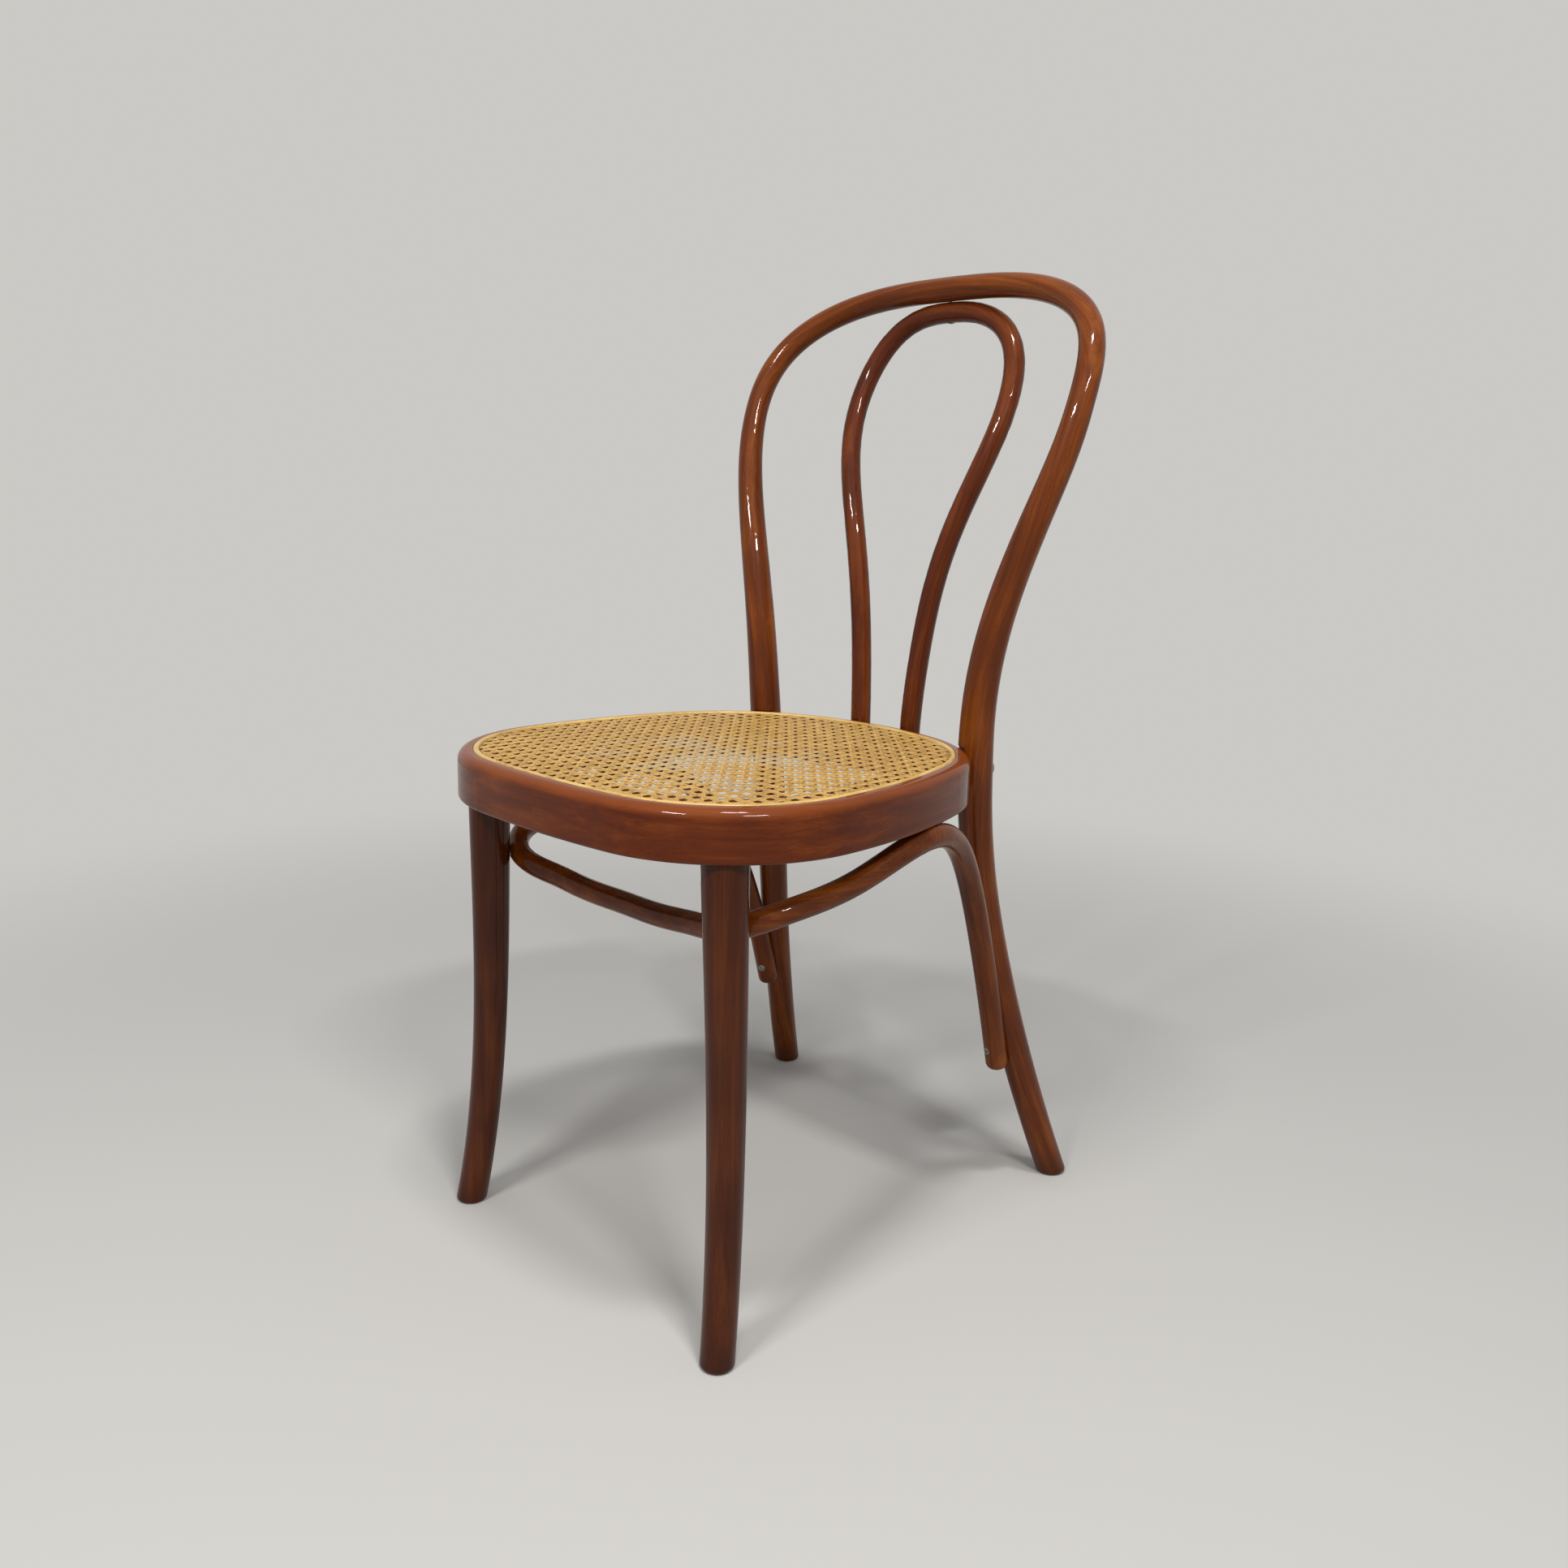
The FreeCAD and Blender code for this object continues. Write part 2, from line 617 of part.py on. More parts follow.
def cane_spline():
    low = SEAT_HEIGHT - GROOVE_DEPTH
    high = SEAT_HEIGHT + SPLINE_PROUD
    outer = outline_plate(GROOVE_INSET + FASTENER_GAP, low, high)
    spline = outer.cut(outline_plate(GROOVE_INSET + FASTENER_GAP + SPLINE_WIDTH, low, high))
    return rounded_where(spline, SPLINE_ROUNDING, lambda edge: edge.BoundBox.ZMin > high - SAME_PLACE)


def octagon(centre_x, centre_y, z):
    radius = NET_HOLE_WIDTH / 2 / math.cos(math.pi / 8)
    centre = Vector(centre_x, centre_y, z)
    points = [polar(centre, radius, FULL_TURN / 8 * (i + 0.5)) for i in range(8)]
    return Part.makePolygon(points + points[:1])


def cane_panel():
    low = SEAT_HEIGHT - CANE_DROP
    pitch = CANE_PITCH * NET_COARSENESS
    rim = seat_outline(GROOVE_INSET + GROOVE_WIDTH + CONTACT_GAP, low)
    holed_area = Part.Face(seat_outline(NET_MARGIN, low))
    steps = int(SEAT_WIDTH / pitch)
    holes = []
    for i in range(-steps, steps + 1):
        for j in range(-steps, steps + 1):
            x = (i + 0.5) * pitch
            y = j * pitch
            if holed_area.isInside(Vector(x, y, low), SAME_PLACE, True):
                holes.append(octagon(x, y, low))
    net = Part.makeFace([rim] + holes, "Part::FaceMakerBullseye")
    return net.extrude(Vector(0, 0, CANE_THICKNESS))


# Fasteners, drawn along -Z with the underside of the head's rim at the origin

def turned(profile):
    """A solid of revolution about Z from an open profile of radius and height."""
    points = [Vector(radius, 0, z) for radius, z in profile]
    face = Part.Face(Part.makePolygon(points + points[:1]))
    return face.revolve(Vector(0, 0, 0), Vector(0, 0, 1), FULL_TURN)


def wood_screw(length, gap=0.0, reach=SCREW_HEAD_DOME):
    """Slotted screw with a sunk, slightly domed head. With a gap it is the hole."""
    head = SCREW_HEAD_DIAMETER / 2 + gap
    shank = SCREW_DIAMETER / 2 + gap
    profile = [
        (0, reach),
        (head if gap else head * SCREW_DOME_SHARE, reach),
        (head, 0),
        (shank, -SCREW_HEAD_CONE),
        (shank, -length + SCREW_TIP - gap),
        (0, -length - gap),
    ]
    screw = turned(profile)
    if gap:
        return screw
    half_length = SCREW_HEAD_DIAMETER
    slot = Part.makeBox(
        2 * half_length, SCREW_SLOT_WIDTH, SCREW_SLOT_DEPTH + OVERRUN,
        Vector(-half_length, -SCREW_SLOT_WIDTH / 2, SCREW_HEAD_DOME - SCREW_SLOT_DEPTH),
    )
    return screw.cut(slot)


def placed(shape, point, direction):
    """Moves a fastener so that it drives from the point along the direction."""
    turn = Rotation(Vector(0, 0, -1), direction)
    copy = shape.copy()
    copy.Placement = Placement(point, turn)
    return copy


def frame_bolt_length():
    through_upright = UPRIGHT_DIAMETER - UPRIGHT_HOUSING - BOLT_HEAD_SINK
    past_ring = WASHER_THICKNESS - WASHER_SINK + NUT_HEIGHT + BOLT_TAIL
    return through_upright + RING_WIDTH + past_ring


def bolt_axis():
    """Seat of the bolt's head on the right upright, and the way inwards."""
    outwards = polar(Vector(0, 0, 0), 1.0, UPRIGHT_ANGLE)
    level = Vector(UPRIGHT.x, UPRIGHT.y, RING_MIDDLE)
    seat = level + outwards * (UPRIGHT_RADIUS - BOLT_HEAD_SINK)
    return seat, outwards * -1


def frame_bolt():
    radius = BOLT_HEAD_DIAMETER / 2
    sphere_radius = (radius ** 2 + BOLT_HEAD_HEIGHT ** 2) / (2 * BOLT_HEAD_HEIGHT)
    head = Part.makeSphere(sphere_radius, Vector(0, 0, BOLT_HEAD_HEIGHT - sphere_radius))
    head = head.common(Part.makeCylinder(radius, BOLT_HEAD_HEIGHT))
    shank = Part.makeCylinder(BOLT_DIAMETER / 2, frame_bolt_length(), Vector(0, 0, 0), Vector(0, 0, -1))
    seat, inwards = bolt_axis()
    return placed(head.fuse(shank), seat, inwards)


def frame_bolt_hole():
    seat, inwards = bolt_axis()
    head_room = Part.makeCylinder(BOLT_HEAD_DIAMETER / 2 + FASTENER_GAP, HOUSING_REACH)
    shank_room = Part.makeCylinder(
        BOLT_DIAMETER / 2 + FASTENER_GAP, frame_bolt_length() + OVERRUN, Vector(0, 0, 0), Vector(0, 0, -1)
    )
    return placed(head_room.fuse(shank_room), seat, inwards)


def ring_inner_seat():
    """Where the washer lies, sunk into the ring's inner face."""
    seat, inwards = bolt_axis()
    through_upright = UPRIGHT_DIAMETER - UPRIGHT_HOUSING - BOLT_HEAD_SINK
    return seat + inwards * (through_upright + RING_WIDTH - WASHER_SINK), inwards


def washer_room():
    point, inwards = ring_inner_seat()
    room = Part.makeCylinder(WASHER_DIAMETER / 2 + FASTENER_GAP, RING_WIDTH, Vector(0, 0, 0), Vector(0, 0, -1))
    return placed(room, point, inwards)


def frame_washer():
    point, inwards = ring_inner_seat()
    down = Vector(0, 0, -1)
    washer = Part.makeCylinder(WASHER_DIAMETER / 2, WASHER_THICKNESS, Vector(0, 0, 0), down)
    bore = Part.makeCylinder(BOLT_DIAMETER / 2 + FASTENER_GAP, WASHER_THICKNESS, Vector(0, 0, 0), down)
    return placed(washer.cut(bore), point, inwards)


def frame_nut():
    point, inwards = ring_inner_seat()
    radius = NUT_ACROSS_FLATS / 2 / math.cos(math.pi / 6)
    corners = [polar(Vector(0, 0, 0), radius, FULL_TURN / 6 * i) for i in range(6)]
    body = Part.Face(Part.makePolygon(corners + corners[:1])).extrude(Vector(0, 0, -NUT_HEIGHT))
    bore_radius = BOLT_DIAMETER / 2 + FASTENER_GAP
    bore = Part.makeCylinder(bore_radius, NUT_HEIGHT, Vector(0, 0, 0), Vector(0, 0, -1))
    return placed(body.cut(bore), point + inwards * WASHER_THICKNESS, inwards)


def screw_places():
    """Each kind of screw: its length, its head's place and the way it drives."""
    loop = Vector(LOOP_HALF_SPACING, LOOP_FOOT.y + LOOP_RADIUS, RING_MIDDLE)
    crown_way = Vector(0, HOOP_TOP_Y - LOOP_TOP_Y, HOOP_TOP - LOOP_TOP).normalize()
    crown = Vector(0, LOOP_TOP_Y, LOOP_TOP) - crown_way * LOOP_RADIUS
    top = brace_top_point()
    ring_screw = top - Vector(0, 0, brace_radius(top))
    contact = brace_contact_point()
    leg_way = polar(Vector(0, 0, 0), 1.0, BRACE_CONTACT_ANGLE) * -1
    leg_screw = contact - leg_way * brace_radius(contact)
    edge = path_edge(whole_path(brace_half()))
    place = edge.valueAt(edge.getParameterByLength(BRACE_END_SCREW_ABOVE_END))
    end_way = polar(Vector(0, 0, 0), 1.0, BRACE_END_ANGLE) * -1
    end_screw = place - end_way * brace_radius(place)
    tenon_way = polar(Vector(0, 0, 0), 1.0, FRONT_LEG_ANGLE)
    tenon_z = RING_BOTTOM + TENON_SCREW_ABOVE_RING_BOTTOM
    tenon = Vector(FRONT_LEG_TOP.x, FRONT_LEG_TOP.y, tenon_z) - tenon_way * (RING_WIDTH - FRONT_LEG_INSET)
    return {
        "inner_loop_screws": (LOOP_SCREW_LENGTH, loop, Vector(0, -1, 0)),
        "loop_top_screw": (LOOP_TOP_SCREW_LENGTH, crown, crown_way),
        "brace_ring_screws": (BRACE_RING_SCREW_LENGTH, ring_screw, Vector(0, 0, 1)),
        "front_leg_screws": (BRACE_LEG_SCREW_LENGTH, leg_screw, leg_way),
        "brace_end_screws": (BRACE_END_SCREW_LENGTH, end_screw, end_way),
        "tenon_lock_screws": (TENON_SCREW_LENGTH, tenon, tenon_way),
    }


def screw_shapes(name):
    """The right-hand screw of a kind and the hole that it needs."""
    length, point, way = screw_places()[name]
    seat = point + way * SCREW_SINK
    screw = placed(wood_screw(length), seat, way)
    hole = placed(wood_screw(length, FASTENER_GAP, SCREW_HEAD_DIAMETER), seat, way)
    return screw, hole


def tenon_socket():
    base = Vector(FRONT_LEG_TOP.x, FRONT_LEG_TOP.y, RING_BOTTOM - OVERRUN)
    return Part.makeCylinder(TENON_DIAMETER / 2 + TENON_GAP, TENON_LENGTH + OVERRUN + TENON_GAP, base)


def build():
    screws = {}
    holes = {}
    for name in screw_places():
        screws[name], holes[name] = screw_shapes(name)

    parts = {}
    frame_cuts = both([frame_bolt_hole(), holes["brace_end_screws"]]) + [holes["loop_top_screw"]]
    parts["back_frame"] = back_frame().cut(frame_cuts)
    loop_cuts = both([holes["inner_loop_screws"]]) + [holes["loop_top_screw"]]
    parts["inner_loop"] = inner_loop().cut(loop_cuts)
    ring_tools = [frame_bolt_hole(), washer_room(), tenon_socket(), holes["inner_loop_screws"]]
    ring_tools += [holes["brace_ring_screws"], holes["tenon_lock_screws"]]
    parts["seat_ring"] = seat_ring().cut(both(ring_tools))
    parts["cane_panel"] = cane_panel()
    parts["cane_spline"] = cane_spline()
    leg = front_leg().cut([holes["front_leg_screws"], holes["tenon_lock_screws"]])
    parts["front_leg_right"] = leg
    parts["front_leg_left"] = mirrored(leg)
    brace_tools = [holes["brace_ring_screws"], holes["front_leg_screws"], holes["brace_end_screws"]]
    parts["leg_brace"] = leg_brace().cut(both(brace_tools))
    parts["frame_bolts"] = pair(frame_bolt())
    parts["frame_washers"] = pair(frame_washer())
    parts["frame_nuts"] = pair(frame_nut())
    for name, screw in screws.items():
        parts[name] = screw if name == "loop_top_screw" else pair(screw)
    return parts


def centring_move():
    """From the seat's centre to the middle of the chair's box in plan."""
    front = outline_point(0, 0, -1).y
    back = max(HOOP_TOP_Y + HOOP_TOP_DIAMETER / 2, LOOP_TOP_Y + LOOP_RADIUS)
    return Vector(0, -(front + back) / 2, 0)


def main():
    os.makedirs("parts", exist_ok=True)
    move = centring_move()
    for name, shape in build().items():
        shape.translate(move)
        shape.exportStep(os.path.join("parts", name + ".step"))
        box = shape.BoundBox
        print(name, len(shape.Solids), shape.isValid(), round(shape.Volume), end=" ")
        print([round(value, 1) for value in (box.XMin, box.XMax, box.YMin, box.YMax, box.ZMin, box.ZMax)])


main()
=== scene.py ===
# %% [markdown]
# Bentwood bistro chair: the looks
#
# The chair arrives as a finished model in metres: rods, seat ring, legs, brace
# and screws are already there. This file gives them their finish, weaves cane
# strands in place of the flat stand-in, and sets up camera and light.
# Nothing of the frame is moved, so each new piece goes where the frame says.

# %% The frame
import math

import bpy
import numpy as np
from mathutils import Matrix, Vector, geometry


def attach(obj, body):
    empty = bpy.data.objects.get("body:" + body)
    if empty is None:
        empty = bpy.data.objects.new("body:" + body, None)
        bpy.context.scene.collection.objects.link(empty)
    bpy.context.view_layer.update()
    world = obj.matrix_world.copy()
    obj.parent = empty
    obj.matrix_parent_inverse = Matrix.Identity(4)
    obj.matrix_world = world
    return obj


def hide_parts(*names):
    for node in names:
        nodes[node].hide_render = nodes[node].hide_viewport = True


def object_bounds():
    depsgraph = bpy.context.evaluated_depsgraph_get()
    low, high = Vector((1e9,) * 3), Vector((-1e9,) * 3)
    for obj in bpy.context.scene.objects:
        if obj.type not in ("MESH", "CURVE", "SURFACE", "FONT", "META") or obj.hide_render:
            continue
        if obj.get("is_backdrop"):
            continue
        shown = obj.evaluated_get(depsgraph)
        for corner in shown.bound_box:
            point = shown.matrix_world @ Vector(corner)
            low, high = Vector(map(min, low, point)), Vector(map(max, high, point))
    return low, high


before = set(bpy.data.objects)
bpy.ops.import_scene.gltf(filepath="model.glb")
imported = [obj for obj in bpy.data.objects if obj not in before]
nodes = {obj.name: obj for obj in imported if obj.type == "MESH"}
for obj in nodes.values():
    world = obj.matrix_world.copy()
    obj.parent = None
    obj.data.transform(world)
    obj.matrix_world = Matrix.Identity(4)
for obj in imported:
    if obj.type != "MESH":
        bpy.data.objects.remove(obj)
cad_low, cad_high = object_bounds()
print("frame nodes:", len(nodes), "box", [round(v, 4) for v in (*cad_low, *cad_high)])

MM = 0.001

# %% [markdown]
# Colours and nodes
#
# Blender's shaders work in linear light, and the colours here are given as sRGB
# hex values, so one function turns the one into the other. Another adds a
# shader node, sets its options and plugs its inputs, because a material is
# only a list of such nodes and reads best as one.


# %% Colour and node helpers
def linear(hex_colour):
    """An sRGB hex colour as linear red, green, blue and alpha."""
    values = [int(hex_colour[i:i + 2], 16) / 255 for i in (1, 3, 5)]
    return [v / 12.92 if v <= 0.04045 else ((v + 0.055) / 1.055) ** 2.4 for v in values] + [1.0]


def add(tree, kind, inputs=None, **settings):
    """Adds a node. An input is a value, or another node's output to plug in."""
    node = tree.nodes.new(kind)
    for name, value in settings.items():
        setattr(node, name, value)
    for name, value in (inputs or {}).items():
        if isinstance(value, bpy.types.NodeSocket):
            tree.links.new(value, node.inputs[name])
        else:
            node.inputs[name].default_value = value
    return node


def new_material(name):
    """An empty material with its node tree, and its output node."""
    material = bpy.data.materials.new(name)
    material.use_nodes = True
    material.node_tree.nodes.clear()
    output = add(material.node_tree, "ShaderNodeOutputMaterial")
    return material, material.node_tree, output


def fill_ramp(elements, stops):
    """Fills a colour ramp with hex colours at places between 0 and 1."""
    while len(elements) < len(stops):
        elements.new(0.5)
    for element, (place, colour) in zip(elements, stops):
        element.position = place
        element.color = linear(colour)


print("mid grey in linear light:", round(linear("#808080")[0], 3))


# %% [markdown]
# Camera
#
# The photograph was taken from in front and from the +X side, a little
# above the seat, with a wide lens. The place, the turns and the angle of view
# below were fitted to it, and bring the rods close to where it shows them. The
# picture was cut a little off the lens's axis, which is what the small shift
# stands for.

# %% Camera as in the photograph
CAMERA_PLACE = (0.8245, -0.8442, 0.6605)
CAMERA_AZIMUTH = 43.487
CAMERA_DOWN = 9.649
CAMERA_ROLL = 1.498
PICTURE_SIDE = 1932
FOCAL_PIXELS = 1600.24
AXIS_RIGHT_PIXELS = 2.39
AXIS_UP_PIXELS = 75.32

camera_data = bpy.data.cameras.new("photo_camera")
camera = bpy.data.objects.new("photo_camera", camera_data)
bpy.context.scene.collection.objects.link(camera)
turn = Matrix.Rotation(math.radians(CAMERA_AZIMUTH), 4, "Z")
tilt = Matrix.Rotation(math.radians(90 - CAMERA_DOWN), 4, "X")
roll = Matrix.Rotation(math.radians(CAMERA_ROLL), 4, "Z")
camera.matrix_world = Matrix.Translation(CAMERA_PLACE) @ turn @ tilt @ roll
camera_data.sensor_fit = "HORIZONTAL"
camera_data.angle = 2 * math.atan(PICTURE_SIDE / 2 / FOCAL_PIXELS)
camera_data.shift_x = -AXIS_RIGHT_PIXELS / PICTURE_SIDE
camera_data.shift_y = -AXIS_UP_PIXELS / PICTURE_SIDE
camera_data.clip_start = 0.01
bpy.context.scene.camera = camera
print("angle of view:", round(math.degrees(camera_data.angle), 2))

# %% [markdown]
# Floor and background
#
# The chair stands on a plain pale floor that fades into a plain background.
# A floor plane alone would end in a hard horizon. So its paint turns into the
# background's own colour between half a metre and two metres out, for camera
# and glossy rays only. Near the chair it stays a real surface, so that it
# catches the shadow.

# %% Floor
BACKGROUND = "#cbc9c5"
FLOOR_PAINT = "#c3c1bd"
FLOOR_SIZE = 60.0
FADE_START = 0.5
FADE_END = 1.8

bpy.ops.object.select_all(action="DESELECT")
bpy.ops.mesh.primitive_plane_add(size=FLOOR_SIZE)
floor = bpy.context.object
floor.name = "pale_floor"
floor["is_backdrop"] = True
floor_material, tree, output = new_material("matt_painted_floor")
place = add(tree, "ShaderNodeTexCoord").outputs["Object"]
distance = add(tree, "ShaderNodeVectorMath", {0: place}, operation="LENGTH").outputs["Value"]
fade = add(
    tree, "ShaderNodeMapRange",
    {"Value": distance, "From Min": FADE_START, "From Max": FADE_END},
    interpolation_type="SMOOTHSTEP",
).outputs["Result"]
rays = add(tree, "ShaderNodeLightPath").outputs
seen = add(tree, "ShaderNodeMath", {0: rays["Is Camera Ray"], 1: rays["Is Glossy Ray"]}, operation="MAXIMUM")
share = add(tree, "ShaderNodeMath", {0: fade, 1: seen.outputs[0]}, operation="MULTIPLY").outputs[0]
paint = add(tree, "ShaderNodeBsdfDiffuse", {"Color": linear(FLOOR_PAINT)}).outputs[0]
far = add(tree, "ShaderNodeEmission", {"Color": linear(BACKGROUND)}).outputs[0]
mixed = add(tree, "ShaderNodeMixShader", {0: share, 1: paint, 2: far}).outputs[0]
tree.links.new(mixed, output.inputs["Surface"])
floor.data.materials.append(floor_material)
print("floor fades from", FADE_START, "m to", FADE_END, "m")

# %% [markdown]
# Light
#
# Short bright streaks lie on the lacquer, as from lamps near a ceiling.
# Three softboxes make them: two in front, high on either side of the camera,
# and one nearly overhead. A dim even world fills the shadows.

# %% World and softboxes
WORLD_FILL = 0.32
SOFTBOXES = {
    # name: azimuth from the front towards +X, elevation, watts, long side, short side
    "softbox_left": (8.0, 40.0, 30.0, 0.6, 0.13),
    "softbox_right": (66.0, 40.0, 28.0, 0.6, 0.13),
    "softbox_top": (55.0, 73.0, 30.0, 0.5, 0.2),
}
SOFTBOX_DISTANCE = 2.6
LIGHT_AIM = Vector((0.0, 0.0, 0.5))

world = bpy.data.worlds.new("pale_room")
bpy.context.scene.world = world
world.use_nodes = True
tree = world.node_tree
tree.nodes.clear()
rays = add(tree, "ShaderNodeLightPath").outputs
seen = add(tree, "ShaderNodeMath", {0: rays["Is Camera Ray"], 1: rays["Is Glossy Ray"]}, operation="MAXIMUM")
seen = add(tree, "ShaderNodeMath", {0: seen.outputs[0], 1: rays["Is Transmission Ray"]}, operation="MAXIMUM")
fill = add(tree, "ShaderNodeBackground", {"Color": linear("#ffffff"), "Strength": WORLD_FILL}).outputs[0]
shown = add(tree, "ShaderNodeBackground", {"Color": linear(BACKGROUND), "Strength": 1.0}).outputs[0]
mixed = add(tree, "ShaderNodeMixShader", {0: seen.outputs[0], 1: fill, 2: shown}).outputs[0]
add(tree, "ShaderNodeOutputWorld", {"Surface": mixed})

for name, (azimuth, elevation, watts, long_side, short_side) in SOFTBOXES.items():
    lamp = bpy.data.lights.new(name, "AREA")
    lamp.shape = "RECTANGLE"
    lamp.size = long_side
    lamp.size_y = short_side
    lamp.energy = watts
    lamp_object = bpy.data.objects.new(name, lamp)
    bpy.context.scene.collection.objects.link(lamp_object)
    a = math.radians(azimuth)
    e = math.radians(elevation)
    outwards = Vector((math.sin(a) * math.cos(e), -math.cos(a) * math.cos(e), math.sin(e)))
    lamp_object.location = LIGHT_AIM + outwards * SOFTBOX_DISTANCE
    lamp_object.rotation_euler = outwards.to_track_quat("Z", "Y").to_euler()

bpy.context.scene.view_settings.view_transform = "Standard"
print("softboxes:", ", ".join(SOFTBOXES))

# %% [markdown]
# Bent beech under lacquer
#
# Beech is a fine, even wood: pale growth bands along the stick, thin streaks,
# and short dark flecks a millimetre or two long. Here it is stained red-brown
# and sprayed with a clear glossy lacquer. Each pattern is a noise stretched
# along the grain. On a steam-bent rod the grain follows the bend, so each
# piece first works out a grain place: two distances across the rod and one
# along it. Lacquer is a coat over the wood with its own sharper shine, and
# nearly all the shine is the coat's. Its index is typically 1.5. A lower one
# is used here, because it brought the wood closer to the photograph's tone.

# %% Lacquered beech
HOOP_STAINS = ("#451c05", "#622b06", "#8b4a11")
LOOP_STAINS = ("#3b1504", "#542106", "#7a3a0d")
RING_STAINS = ("#431603", "#5b2304", "#7b3b0b")
# Painted shade: the legs' stain is darker than the hoop's, for the shade they stand in under the seat.
LEG_STAINS_WITH_PAINTED_SHADE = ("#301003", "#441b05", "#602d0a")
BRACE_STAINS = ("#401904", "#602a05", "#86460f")
# Painted light: a lighter orange colour for the seat ring's top edge, where light from above falls.
TOP_EDGE_PAINTED_LIGHT = "#8a4519"
FLECK = "#2a0f05"
BAND_WIDTH = 9 * MM
BAND_LENGTH = 190 * MM
STREAK_WIDTH = 1.5 * MM
STREAK_LENGTH = 60 * MM
# Flecks this fine wouldn't show, so they are drawn wider and longer than real ones.
FLECK_WIDTH = 0.8 * MM
FLECK_LENGTH = 5 * MM
BLOTCH = 70 * MM
ORANGE_PEEL = 5 * MM
FOOT_DARKENING_HEIGHT = 30 * MM
BAND_SHARE = 0.62
STREAK_SHARE = 0.24
BLOTCH_SHARE = 0.32
STAIN_PLACES = (0.36, 0.58, 0.84)
FLECK_LOW = 0.60
FLECK_HIGH = 0.74
FLECK_STRENGTH = 0.35
FOOT_DARKENING_STRENGTH = 0.55
TOP_EDGE_PAINTED_LIGHT_STRENGTH = 0.5
# Most of a noise's values lie between these two.
NOISE_LOW = 0.3
NOISE_HIGH = 0.7
WOOD_SMOOTHEST = 0.34
WOOD_ROUGHEST = 0.5
WOOD_SHINE = 0.06
PORE_DEPTH = 0.05 * MM
PEEL_DEPTH = 0.06 * MM
COAT_WEIGHT = 0.62
COAT_ROUGHNESS = 0.05
COAT_IOR = 1.34


def stretched_noise(tree, grain, across, along, detail):
    """Noise with cells that are so wide across the grain and so long along it."""
    size = (1 / across, 1 / across, 1 / along)
    scaled = add(tree, "ShaderNodeVectorMath", {0: grain, 1: size}, operation="MULTIPLY").outputs[0]
    noise = add(tree, "ShaderNodeTexNoise", {"Vector": scaled, "Scale": 1.0, "Detail": detail})
    return noise.outputs["Fac"]


